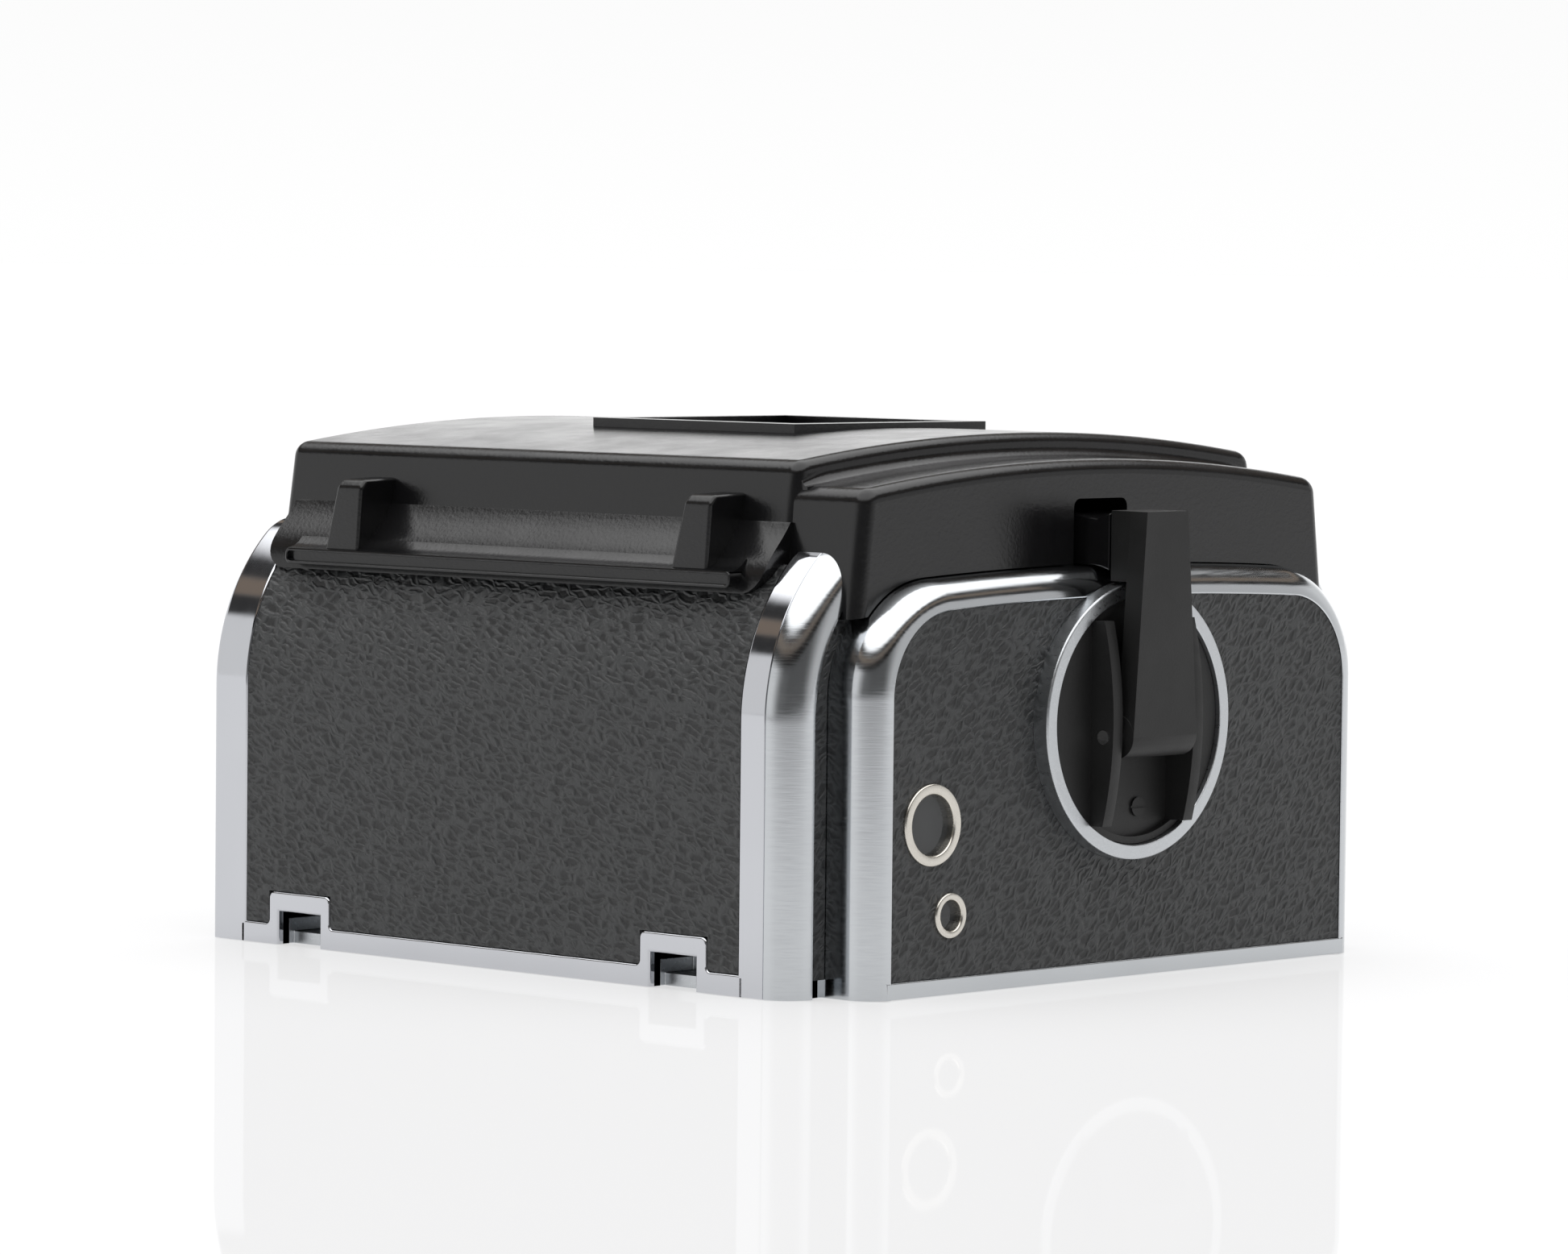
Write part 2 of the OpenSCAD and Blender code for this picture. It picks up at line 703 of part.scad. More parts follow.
module insert_end_cap() {
    color("silver") at_corner() {
        difference() {
            along_x(0, 3.4) cap_outline(wall + 0.3);
            along_x(-eps, 0.6) cap_outline(wall + 3.6);
            bar_x(-eps, 3.4 + eps, [mid_y, key_z], key_r + run);
        }
        for (y = [14, shell_w - 14], z = [14, 38]) bar_x(3.4 - eps, plate_1[0], [y, z], 2.2);
    }
}

module cap_outline(inset) {
    intersection() {
        shell_outline(inset, 49.6 - inset);
        translate([0, 3.6 + inset]) square([shell_w, shell_top]);
    }
}

module end_cap_leather() {
    color("#222222") at_corner() along_x(0.1, 0.6) difference() {
        cap_outline(wall + 3.6);
        translate([mid_y, key_z]) circle(key_r + 0.6);
    }
}

module key_hub() {
    color("silver") at_corner() difference() {
        union() {
            bar_x(1.7, 3.4, [mid_y, key_z], key_r);
            ring_x(0, 1.7 + eps, [mid_y, key_z], key_r, 0.9);
            span([0.1, mid_y - 7.6, key_z - 1.8], [1.7 + eps, mid_y + 7.6, key_z + 1.8]);
        }
        bar_y(mid_y - 9, mid_y + 9, [0.9, key_z], 0.65);
    }
}

module key_lock_cam() {
    color("gray") at_corner() along_x(3.45, 4.4) translate([mid_y, key_z]) {
        square([6, 15], center = true);
        circle(4.5);
    }
}

module key_bail() {
    color("silver") at_corner() {
        along_x(0.2, 1.6) translate([mid_y, key_z]) intersection() {
            difference() { circle(11.6); circle(8.4); }
            translate([-15, 0.2]) square([30, 15]);
        }
        bar_y(mid_y - 8.6, mid_y + 8.6, [0.9, key_z], 0.6);
        for (s = [0, 1]) translate([0, mid_y, 0]) mirror([0, s, 0]) bar_y(8.4, 11.5, [0.9, key_z], 0.7);
    }
}

module spool_pins() {
    color("gray") at_corner() for (y = [supply_y, take_up_y]) bar_x(plate_1[0], 13, [y, spool_z], 2.5);
}

module roller_axles() {
    color("gray") at_corner() for (y = [14, shell_w - 14])
        bar_x(plate_1[0], plate_2[1], [y, roller_z], 1);
}

module roller(y) {
    color("silver") at_corner() difference() {
        union() {
            bar_x(plate_1[1] + 0.4, plate_2[0] - 0.4, [y, roller_z], roller_r - 0.4);
            for (x = [plate_1[1] + 0.4, plate_2[0] - 8.4]) bar_x(x, x + 8, [y, roller_z], roller_r);
        }
        bar_x(0, shell_l, [y, roller_z], 1 + run);
    }
}

module supply_roller() { roller(14); }

module take_up_roller() { roller(shell_w - 14); }

module pressure_plate() {
    color("#303030") at_corner() difference() {
        span([gate_x - 35, mid_y - 30, 6.3], [gate_x + 35, mid_y + 30, spring_z[0]]);
        for (y = [-18, 18]) span([gate_x - 30, mid_y + y - 1, 7.3], [gate_x + 30, mid_y + y + 1, 8]);
    }
}

module pressure_springs() {
    color("gray") at_corner() for (x = [-22, 22], y = [-24, 24])
        translate([gate_x + x, mid_y + y, spring_z[0]]) difference() {
            cylinder(h = spring_z[1] - spring_z[0], r = 3);
            translate([0, 0, -eps]) cylinder(h = 9, r = 2.4);
        }
}

module spool(y) {
    flange_1 = film_x - flange_t;
    flange_2 = film_x + film_w;
    color("dimgray") at_corner() difference() {
        union() {
            bar_x(plate_1[1] + 0.6, flange_1 + eps, [y, spool_z], 4.5);
            bar_x(flange_1, flange_1 + flange_t, [y, spool_z], flange_r);
            bar_x(film_x - eps, flange_2 + eps, [y, spool_z], 6);
            bar_x(flange_2, flange_2 + flange_t, [y, spool_z], flange_r);
            bar_x(flange_2 + flange_t - eps, plate_2[1] + 0.6, [y, spool_z], 3.5);
        }
        bar_x(plate_1[1], 14, [y, spool_z], 2.5 + run);
        span([84.4, y - 0.9, spool_z - 4], [89, y + 0.9, spool_z + 4]);
        span([40, y - 0.6, spool_z - 7], [53, y + 0.6, spool_z + 7]);
    }
}

module supply_spool() { spool(supply_y); }

module take_up_spool() { spool(take_up_y); }

module dark_slide() { color("gainsboro") at_corner() span([-1.5, 17.4, 3.3], [80, shell_w - 17.4, 4]); }

module dark_slide_handle() {
    color("silver") at_corner() difference() {
        union() {
            span([-9, mid_y - 13, 2.2], [-1.5, mid_y + 13, 5.1]);
            intersection() {
                translate([-0.6, mid_y, 2.2]) cylinder(h = 2.9, r = 18);
                span([handle_end, mid_y - 13, 2.2], [-8, mid_y + 13, 5.1]);
            }
        }
        span([-10, mid_y - 9.4, 0], [-4.6, mid_y + 9.4, 9]);
    }
}

module release_button() {
    color("silver") at_corner() difference() {
        span([39, shell_w - wall - 0.4, 11.3], [53, shell_w, 16.7]);
        for (x = [42 : 2 : 50]) bar_z(x, shell_w + 0.3);
    }
}

module bar_z(x, y) { translate([x, y, 10]) cylinder(h = 8, r = 0.7); }

module latch_bar() {
    y0 = 92.4;
    y1 = shell_w - wall - 0.4;
    color("gray") at_corner() {
        span([22, y0, 4.4], [70, y1, 8.4]);
        span([39, y0, 8.4 - eps], [53, y1, 16.7]);
        for (x = [25, 63]) span([x, y0, 0.3], [x + 4, y1 - 0.2, 4.4 + eps]);
    }
}

main_shell();
shell_end_frame();
front_plate();
light_trap();
gate_frame();
bottom_leather();
top_leather();
margin_leather();
notch_frames();
gear_housing();
side_leather();
crank_ring();
counter_window_ring();
counter_glass();
status_window_ring();
status_glass();
gear_studs();
rear_cover();
side_cover();
memo_frame();
crank_rest();
front_screws();
latch_spring();
crank_disc();
crank_shaft();
crank_gear();
crank_pinion();
crank_pin();
crank_screw();
crank_arm();
take_up_gear();
take_up_dog();
idler_gear();
idler_pinion();
counter_dial();
transport_gear();
status_disc();
insert_frame();
insert_end_cap();
end_cap_leather();
spool_pins();
roller_axles();
pressure_springs();
pressure_plate();
supply_roller();
take_up_roller();
supply_spool();
take_up_spool();
key_hub();
key_lock_cam();
key_bail();
dark_slide();
dark_slide_handle();
release_button();
latch_bar();
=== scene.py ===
"""Looks of the roll-film magazine: rounded chrome, leather skins, black covers, studio and camera.

Lengths are millimetres from the main shell's corner (x along the spools, y across them, z up),
and at() turns them into the row frame's metres.
"""

import json
import math

import bmesh
import bpy
from mathutils import Matrix, Vector


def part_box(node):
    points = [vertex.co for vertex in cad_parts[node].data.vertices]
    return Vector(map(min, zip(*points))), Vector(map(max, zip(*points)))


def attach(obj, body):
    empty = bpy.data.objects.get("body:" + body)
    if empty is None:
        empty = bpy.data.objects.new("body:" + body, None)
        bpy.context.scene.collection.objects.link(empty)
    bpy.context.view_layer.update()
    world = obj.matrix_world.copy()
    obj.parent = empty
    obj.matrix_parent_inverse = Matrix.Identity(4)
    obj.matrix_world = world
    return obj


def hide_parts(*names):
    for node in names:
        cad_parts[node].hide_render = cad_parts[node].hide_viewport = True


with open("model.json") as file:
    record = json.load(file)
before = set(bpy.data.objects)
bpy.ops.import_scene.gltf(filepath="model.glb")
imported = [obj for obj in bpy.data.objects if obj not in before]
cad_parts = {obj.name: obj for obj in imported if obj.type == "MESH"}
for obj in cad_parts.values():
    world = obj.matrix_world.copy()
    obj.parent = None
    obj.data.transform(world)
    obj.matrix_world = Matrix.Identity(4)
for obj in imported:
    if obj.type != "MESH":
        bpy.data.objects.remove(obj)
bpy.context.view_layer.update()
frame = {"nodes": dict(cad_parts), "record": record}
nodes = frame["nodes"]
MM = 0.001
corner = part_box("main_shell")[0]


def at(x, y, z):
    """Row-frame point of a point given from the shell's corner in millimetres."""
    return corner + Vector((x, y, z)) * MM


def local_box(node):
    """A CAD node's lowest and highest corners, in millimetres from the shell's corner."""
    low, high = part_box(node)
    return (low - corner) / MM, (high - corner) / MM


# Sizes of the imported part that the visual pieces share
shell_high = local_box("main_shell")[1]
WIDTH = shell_high.y
MID_Y = WIDTH / 2
RIM_Z = 48.0
HOOP_R = 7.0
HOOP_L = 2.6
SHOULDER_R = 24.5
SHOULDER_Z = 30.2
WALL = 1.8
RECESS = 0.8
SKIN_LOW = 0.15
TRIM_END = 6.0
SKIN_END = 87.0
SEAM_X = shell_high.x
STRIP_H = 2.4
BEAD_R = 3.9
END_X = local_box("shell_end_frame")[1].x
END_WALL_X = 93.5
housing_low, housing_high = local_box("gear_housing")
HOUSING_X = housing_high.x
HOUSING_IN = housing_low.y
HOUSING_TOP = housing_high.z
HOUSING_R = 13.0
HOUSING_BEAD = 3.5
HOUSING_ARCH = 540.0
LIP = 3.3
PLATE_X = HOUSING_X - 0.65
PLATE_BACK = 99.0
CRANK = (MID_Y, 29.3)
RING_R = 15.8
RING_IN = 14.05
RING_FACE = 103.0
COUNTER_WINDOW = (16.3, 19.0)
COUNTER_R = 4.6
STATUS_WINDOW = (19.4, 8.8)
STATUS_R = 2.55
WINDOW_X = (99.2, 101.2)
NOTCHES = (15.3, 76.9)
NOTCH_W = 7.2
NOTCH_H = 3.9
FRAME_HALF = 5.25
FRAME_TOP = 6.2

# Edges that turn by more than this are sharp; points this near a plane, in mm, count as on it
SHARP_DEGREES = 40
NEAR = 0.01
WELD_GAP = 0.002
OPENING_GAP = 0.02

# How finely the shell's turns and the gear housing's corners and arch are cut
TURN_STEPS = 24
CORNER_STEPS = 20
ARCH_STEPS = 14
SHELL_STATIONS = [0.0, 1.0] + [1 + i / TURN_STEPS for i in range(1, 44)]
HOUSING_STATIONS = [0.0, 1.0] + [1 + i / CORNER_STEPS for i in range(1, CORNER_STEPS + 1)]
HOUSING_STATIONS += [2 + i / ARCH_STEPS for i in range(1, ARCH_STEPS + 1)]


class Shape:
    """Vertices and faces of one or more closed solids, in millimetres."""

    def __init__(self):
        self.verts = []
        self.faces = []

    def add(self, other):
        """Take in another shape's solids."""
        start = len(self.verts)
        self.verts += other.verts
        self.faces += [[i + start for i in face] for face in other.faces]
        return self

    def mirrored(self):
        """The same solids on the other side of the middle plane."""
        shape = Shape()
        shape.verts = [(x, WIDTH - y, z) for x, y, z in self.verts]
        shape.faces = [list(reversed(face)) for face in self.faces]
        return shape


def both_sides(shape):
    """A near-side solid together with its mirror image."""
    return Shape().add(shape).add(shape.mirrored())


def make(name, shape, material, body, replaces=(), sharp=32.0):
    """Mesh object of a shape that rides on a body and stands for CAD nodes."""
    mesh = bpy.data.meshes.new(name)
    mesh.from_pydata([at(*v) for v in shape.verts], [], shape.faces)
    bm = bmesh.new()
    bm.from_mesh(mesh)
    bmesh.ops.recalc_face_normals(bm, faces=bm.faces)
    bm.to_mesh(mesh)
    bm.free()
    mesh.polygons.foreach_set("use_smooth", [True] * len(mesh.polygons))
    mesh.set_sharp_from_angle(angle=math.radians(sharp))
    mesh.materials.append(material)
    obj = bpy.data.objects.new(name, mesh)
    bpy.context.scene.collection.objects.link(obj)
    even = obj.modifiers.new("even", "WEIGHTED_NORMAL")
    even.keep_sharp = True
    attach(obj, body)
    if replaces:
        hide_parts(*replaces)
    return obj


def from_bmesh(bm):
    """Shape of a bmesh, which is freed."""
    shape = Shape()
    bm.verts.index_update()
    shape.verts = [tuple(v.co) for v in bm.verts]
    shape.faces = [[v.index for v in face.verts] for face in bm.faces]
    bm.free()
    return shape


def arc(centre, radius, start, end, steps):
    """Points of a circular arc in a plane, between two angles in degrees."""
    points = []
    for i in range(steps + 1):
        angle = math.radians(start + (end - start) * i / steps)
        points.append((centre[0] + radius * math.cos(angle), centre[1] + radius * math.sin(angle)))
    return points


def circle(centre, radius, count):
    """Points of a full circle in a plane."""
    return arc(centre, radius, 0, 360 - 360 / count, count - 1)


def shell_at(s, inset):
    """Point [y, z] of the shell's near side.

    s runs 0 to 1 up the wall, 1 to 2 round the shoulder, 2 to 3 round the hoop and 3 to 4 to the middle.
    """
    if s <= 1:
        return (inset, SHOULDER_Z * s)
    rim = math.asin((RIM_Z - SHOULDER_Z) / SHOULDER_R)
    if s <= 2:
        angle = (s - 1) * rim
        radius = SHOULDER_R - inset
        return (SHOULDER_R - radius * math.cos(angle), SHOULDER_Z + radius * math.sin(angle))
    centre_y = SHOULDER_R - (SHOULDER_R - HOOP_R) * math.cos(rim)
    centre_z = SHOULDER_Z + (SHOULDER_R - HOOP_R) * math.sin(rim)
    radius = HOOP_R - inset
    if s <= 3:
        angle = rim + (s - 2) * (math.pi / 2 - rim)
        return (centre_y - radius * math.cos(angle), centre_z + radius * math.sin(angle))
    return (centre_y + (s - 3) * (MID_Y - centre_y), centre_z + radius)


def housing_at(s, inset):
    """Point [y, z] of the gear housing: s 0 to 1 up the wall, 1 to 2 the corner, 2 to 3 to the middle."""
    centre_y = HOUSING_IN + HOUSING_R
    arch_z = HOUSING_TOP - HOUSING_ARCH
    lean = math.asin((MID_Y - centre_y) / (HOUSING_ARCH - HOUSING_R))
    centre_z = arch_z + (HOUSING_ARCH - HOUSING_R) * math.cos(lean)
    if s <= 1:
        return (HOUSING_IN + inset, centre_z * s)
    if s <= 2:
        angle = (s - 1) * (math.pi / 2 - lean)
        radius = HOUSING_R - inset
        return (centre_y - radius * math.cos(angle), centre_z + radius * math.sin(angle))
    angle = lean * (3 - s)
    radius = HOUSING_ARCH - inset
    return (MID_Y - radius * math.sin(angle), arch_z + radius * math.cos(angle))


def tube(rings):
    """Closed solid skinned over rings that all have the same number of points."""
    shape = Shape()
    count = len(rings[0])
    for ring in rings:
        shape.verts += ring
    for i in range(len(rings) - 1):
        for j in range(count):
            a = i * count + j
            b = i * count + (j + 1) % count
            shape.faces.append([a, b, b + count, a + count])
    last = (len(rings) - 1) * count
    shape.faces.append(list(range(count)))
    shape.faces.append([last + j for j in reversed(range(count))])
    return shape


def shell_sweep(section, stations=SHELL_STATIONS):
    """Solid that carries a section of (x, inset) points along the near side of the shell."""
    return tube([[(x, *shell_at(s, inset)) for x, inset in section] for s in stations])


def housing_sweep(section):
    """Solid that carries a section of (x, inset) points over the gear housing, wall to wall."""
    near = [[(x, *housing_at(s, inset)) for x, inset in section] for s in HOUSING_STATIONS]
    return tube(near + [[(x, WIDTH - y, z) for x, y, z in ring] for ring in reversed(near[:-1])])


def grid_solid(us, vs, outer, inner, keep):
    """Plate on a grid: outer and inner map (u, v) to points, keep says which cells are solid."""
    shape = Shape()
    index = {}

    def vertex(i, j, side):
        key = (i, j, side)
        if key not in index:
            index[key] = len(shape.verts)
            shape.verts.append((outer if side else inner)(us[i], vs[j]))
        return index[key]

    cells = {
        (i, j)
        for i in range(len(us) - 1)
        for j in range(len(vs) - 1)
        if keep((us[i] + us[i + 1]) / 2, (vs[j] + vs[j + 1]) / 2)
    }
    for i, j in cells:
        ring = [(i, j), (i + 1, j), (i + 1, j + 1), (i, j + 1)]
        shape.faces.append([vertex(*p, 1) for p in ring])
        shape.faces.append([vertex(*p, 0) for p in reversed(ring)])
        neighbours = [(i, j - 1), (i + 1, j), (i, j + 1), (i - 1, j)]
        for k, neighbour in enumerate(neighbours):
            if neighbour not in cells:
                a, b = ring[k], ring[(k + 1) % 4]
                shape.faces.append([vertex(*b, 1), vertex(*a, 1), vertex(*a, 0), vertex(*b, 0)])
    return shape


def prism(outline, low, high, axis="x", bevel=0.0, pick=None, segments=4, holes=()):
    """Solid between two planes of an outline across x or y; the edges that pick accepts are rounded."""

    def to_point(a, b, t):
        return (t, a, b) if axis == "x" else (a, t, b)

    bm = bmesh.new()
    edges = []
    for loop in [outline, *holes]:
        ring = [bm.verts.new(to_point(a, b, low)) for a, b in loop]
        edges += [bm.edges.new((ring[i], ring[(i + 1) % len(ring)])) for i in range(len(ring))]
    if holes:
        bmesh.ops.triangle_fill(bm, use_beauty=True, edges=edges)
        bmesh.ops.dissolve_limit(bm, angle_limit=0.001, verts=[], edges=bm.edges)
    else:
        bm.faces.new([e.verts[0] for e in edges])
    made = bmesh.ops.extrude_face_region(bm, geom=list(bm.faces))
    shift = Vector(to_point(0, 0, high)) - Vector(to_point(0, 0, low))
    moved = [g for g in made["geom"] if isinstance(g, bmesh.types.BMVert)]
    bmesh.ops.translate(bm, vec=shift, verts=moved)
    bmesh.ops.recalc_face_normals(bm, faces=bm.faces)
    if bevel:
        chosen = [e for e in bm.edges if len(e.link_faces) == 2 and pick(e)]
        bmesh.ops.bevel(
            bm, geom=chosen, offset=bevel, offset_type="OFFSET", segments=segments,
            profile=0.5, affect="EDGES", clamp_overlap=True,
        )
    return from_bmesh(bm)


def sharp_edge(edge, degrees=SHARP_DEGREES):
    """Whether the two faces at an edge turn by more than the given angle."""
    return edge.calc_face_angle(0.0) > math.radians(degrees)


def lathe(profile, centre, segments=160):
    """Solid of a closed profile of (x, radius) points turned round an axis along x."""
    shape = Shape()
    count = len(profile)
    for k in range(segments):
        angle = 2 * math.pi * k / segments
        for x, radius in profile:
            shape.verts.append(
                (x, centre[0] + radius * math.cos(angle), centre[1] + radius * math.sin(angle))
            )
    for k in range(segments):
        base, after = k * count, ((k + 1) % segments) * count
        for j in range(count):
            a, b = j, (j + 1) % count
            shape.faces.append([base + a, base + b, after + b, after + a])
    return shape


def rounded(profile, radius, steps=4):
    """Closed outline with each corner (a, b) or (a, b, own radius) cut by an arc.

    An arc takes up at most the longest share of either side next to it.
    """
    points = []
    count = len(profile)
    longest = 0.49
    for i, corner_point in enumerate(profile):
        r = corner_point[2] if len(corner_point) > 2 else radius
        here = Vector(corner_point[:2])
        if r <= 0:
            points.append(tuple(here))
            continue
        before = Vector(profile[i - 1][:2])
        after = Vector(profile[(i + 1) % count][:2])
        a = (before - here).normalized()
        b = (after - here).normalized()
        half = a.angle(b) / 2
        sides = ((before - here).length, (after - here).length)
        cut = min(r / math.tan(half), min(sides) * longest)
        r = cut * math.tan(half)
        centre = here + (a + b).normalized() * (r / math.sin(half))
        start = here + a * cut - centre
        turn = here + b * cut - centre
        sweep_angle = math.atan2(start.x * turn.y - start.y * turn.x, start.dot(turn))
        for k in range(steps + 1):
            t = sweep_angle * k / steps
            points.append((
                centre.x + start.x * math.cos(t) - start.y * math.sin(t),
                centre.y + start.x * math.sin(t) + start.y * math.cos(t),
            ))
    return points


# ---------------------------------------------------------------- materials

def new_material(name):
    """New material with its node tree and its main shader."""
    material = bpy.data.materials.new(name)
    material.use_nodes = True
    tree = material.node_tree
    shader = next(n for n in tree.nodes if n.type == "BSDF_PRINCIPLED")
    return material, tree, shader


def link(tree, a, b):
    tree.links.new(a, b)


def coordinates(tree, rotation=(0, 0, 0), scale=(1, 1, 1)):
    """Object coordinates in millimetres, turned and stretched."""
    texture = tree.nodes.new("ShaderNodeTexCoord")
    mapping = tree.nodes.new("ShaderNodeMapping")
    mapping.inputs["Rotation"].default_value = [math.radians(r) for r in rotation]
    mapping.inputs["Scale"].default_value = [s / MM for s in scale]
    link(tree, texture.outputs["Object"], mapping.inputs["Vector"])
    return mapping.outputs["Vector"]


def noise(tree, vector, scale, detail, roughness=0.5):
    """Noise value, 0 to 1."""
    node = tree.nodes.new("ShaderNodeTexNoise")
    node.inputs["Scale"].default_value = scale
    node.inputs["Detail"].default_value = detail
    node.inputs["Roughness"].default_value = roughness
    link(tree, vector, node.inputs["Vector"])
    return node.outputs["Fac"]


def ramp(tree, value, source, target, smooth=False):
    """Value carried from the source range to the target range and held at the ends."""
    node = tree.nodes.new("ShaderNodeMapRange")
    node.interpolation_type = "SMOOTHSTEP" if smooth else "LINEAR"
    node.inputs["From Min"].default_value = source[0]
    node.inputs["From Max"].default_value = source[1]
    node.inputs["To Min"].default_value = target[0]
    node.inputs["To Max"].default_value = target[1]
    link(tree, value, node.inputs["Value"])
    return node.outputs["Result"]


def math_node(tree, operation, a, b):
    """Sum, product or the like of two numbers or sockets."""
    node = tree.nodes.new("ShaderNodeMath")
    node.operation = operation
    for socket, value in zip(node.inputs, (a, b)):
        if isinstance(value, (int, float)):
            socket.default_value = value
        else:
            link(tree, value, socket)
    return node.outputs["Value"]


def blend_colour(tree, factor, low, high):
    """Colour between two, by a factor from 0 to 1."""
    node = tree.nodes.new("ShaderNodeMix")
    node.data_type = "RGBA"
    node.inputs["A"].default_value = (*low, 1)
    node.inputs["B"].default_value = (*high, 1)
    link(tree, factor, node.inputs["Factor"])
    return node.outputs["Result"]


def bump(tree, shader, height, distance):
    """Relief of the given depth in millimetres."""
    node = tree.nodes.new("ShaderNodeBump")
    node.inputs["Strength"].default_value = 1.0
    node.inputs["Distance"].default_value = distance * MM
    link(tree, height, node.inputs["Height"])
    link(tree, node.outputs["Normal"], shader.inputs["Normal"])


NOISE_SPAN = (0.3, 0.7)


def metal(name, low, high, rough, streak=(1, 1, 1), grain=0.6, depth=0.004):
    """Plated or machined metal: slight colour and roughness variation with a fine finish."""
    material, tree, shader = new_material(name)
    vector = coordinates(tree, scale=streak)
    fine = noise(tree, vector, grain, detail=4.0)
    broad = noise(tree, coordinates(tree), scale=0.06, detail=2.0)
    link(tree, blend_colour(tree, broad, low, high), shader.inputs["Base Color"])
    link(tree, ramp(tree, fine, NOISE_SPAN, rough), shader.inputs["Roughness"])
    shader.inputs["Metallic"].default_value = 1.0
    bump(tree, shader, fine, depth)
    return material


def enamel(name, low, high, rough, grain=2.2, depth=0.02):
    """Paint with orange peel and broad patches that differ a little in colour and gloss."""
    material, tree, shader = new_material(name)
    vector = coordinates(tree)
    peel = noise(tree, vector, grain, detail=3.0)
    patch = noise(tree, vector, scale=0.12, detail=4.0, roughness=0.6)
    link(tree, blend_colour(tree, patch, low, high), shader.inputs["Base Color"])
    link(tree, ramp(tree, patch, NOISE_SPAN, rough), shader.inputs["Roughness"])
    bump(tree, shader, peel, depth)
    return material


def leather(name, rotation, stretch):
    """Grained leatherette: a net of raised ridges drawn out along one slanting direction, with painted
    highlight on the ridges and painted shade in the grooves.
    """
    warp_reach = 1.5
    pore_share = 0.25
    relief = 0.16
    material, tree, shader = new_material(name)
    turned = coordinates(tree, rotation)
    warp = tree.nodes.new("ShaderNodeTexNoise")
    warp.inputs["Scale"].default_value = 0.4
    warp.inputs["Detail"].default_value = 2.0
    link(tree, turned, warp.inputs["Vector"])
    warped = tree.nodes.new("ShaderNodeVectorMath")
    warped.operation = "MULTIPLY_ADD"
    link(tree, warp.outputs["Color"], warped.inputs[0])
    warped.inputs[1].default_value = (warp_reach, warp_reach, warp_reach)
    link(tree, turned, warped.inputs[2])
    drawn = tree.nodes.new("ShaderNodeVectorMath")
    drawn.operation = "MULTIPLY"
    link(tree, warped.outputs["Vector"], drawn.inputs[0])
    drawn.inputs[1].default_value = stretch
    cells = tree.nodes.new("ShaderNodeTexVoronoi")
    cells.feature = "DISTANCE_TO_EDGE"
    cells.inputs["Scale"].default_value = 1.0
    cells.inputs["Randomness"].default_value = 0.85
    link(tree, drawn.outputs["Vector"], cells.inputs["Vector"])
    ridge = ramp(tree, cells.outputs["Distance"], (0.0, 0.30), (1.0, 0.0), smooth=True)
    pore = noise(tree, turned, scale=3.2, detail=2.0)
    height = math_node(tree, "ADD", ridge, math_node(tree, "MULTIPLY", pore, pore_share))
    # Lighter base colour on the ridges and darker in the grooves: painted highlight and painted shade, added
    # to the shading the bump gives.
    link(tree, blend_colour(tree, ridge, (0.014, 0.0145, 0.015), (0.042, 0.044, 0.045)),
         shader.inputs["Base Color"])
    link(tree, ramp(tree, pore, (0.35, 0.65), (0.50, 0.40)), shader.inputs["Roughness"])
    bump(tree, shader, height, relief)
    return material


MATERIALS = {
    "chrome": metal("chrome_plate", (0.58, 0.59, 0.62), (0.63, 0.64, 0.67), (0.06, 0.10), grain=0.5,
                    depth=0.002),
    "satin_metal": metal("satin_aluminium", (0.55, 0.57, 0.59), (0.62, 0.64, 0.66), (0.26, 0.36),
                         streak=(1, 6, 6), depth=0.004),
    "black_paint": enamel("black_enamel", (0.004, 0.004, 0.0045), (0.007, 0.007, 0.0075), (0.18, 0.26)),
    "matte_black": enamel("matte_black_paint", (0.006, 0.006, 0.006), (0.010, 0.010, 0.010),
                          (0.45, 0.58), grain=3.5, depth=0.015),
    "steel": metal("ground_steel", (0.50, 0.50, 0.50), (0.60, 0.60, 0.60), (0.22, 0.34),
                   streak=(0.3, 3, 3)),
    "nickel": metal("brushed_nickel", (0.66, 0.63, 0.57), (0.74, 0.71, 0.65), (0.20, 0.30),
                    streak=(1, 4, 4)),
    "brass": metal("machined_brass", (0.66, 0.48, 0.20), (0.76, 0.58, 0.28), (0.20, 0.32)),
    "leatherette": leather("leatherette", (0, 0, 0), (0.45, 1.1, 1.2)),
    "dial_white": enamel("dial_lacquer", (0.60, 0.60, 0.57), (0.68, 0.68, 0.65), (0.40, 0.50)),
    "spool_black": enamel("spool_plastic", (0.022, 0.022, 0.024), (0.034, 0.034, 0.036),
                          (0.35, 0.50)),
}
CHROME = MATERIALS["chrome"]
SATIN_CHROME = metal("satin_chrome", (0.56, 0.58, 0.60), (0.62, 0.64, 0.66), (0.11, 0.19),
                     streak=(0.4, 0.4, 6), grain=0.8, depth=0.003)
BLACK = MATERIALS["black_paint"]
LEATHER_SIDE = leather("leatherette_side", (0, -16, 0), (0.42, 1.0, 1.25))
LEATHER_END = leather("leatherette_end", (-38, 0, 0), (1.0, 0.46, 1.25))


def glass(name):
    """Slightly see-through window with a faint haze, tinted dark as painted shade over the dial behind it."""
    material, tree, shader = new_material(name)
    haze = noise(tree, coordinates(tree), scale=0.4, detail=2.0)
    link(tree, ramp(tree, haze, NOISE_SPAN, (0.02, 0.06)), shader.inputs["Roughness"])
    # The dark glass colour is painted shade: it stands for the dial behind the window lying in shade.
    link(tree, blend_colour(tree, haze, (0.06, 0.062, 0.064), (0.075, 0.078, 0.08)),
         shader.inputs["Base Color"])
    shader.inputs["Alpha"].default_value = 0.72
    shader.inputs["IOR"].default_value = 1.5
    return material


MATERIALS["glass"] = glass("window_glass")

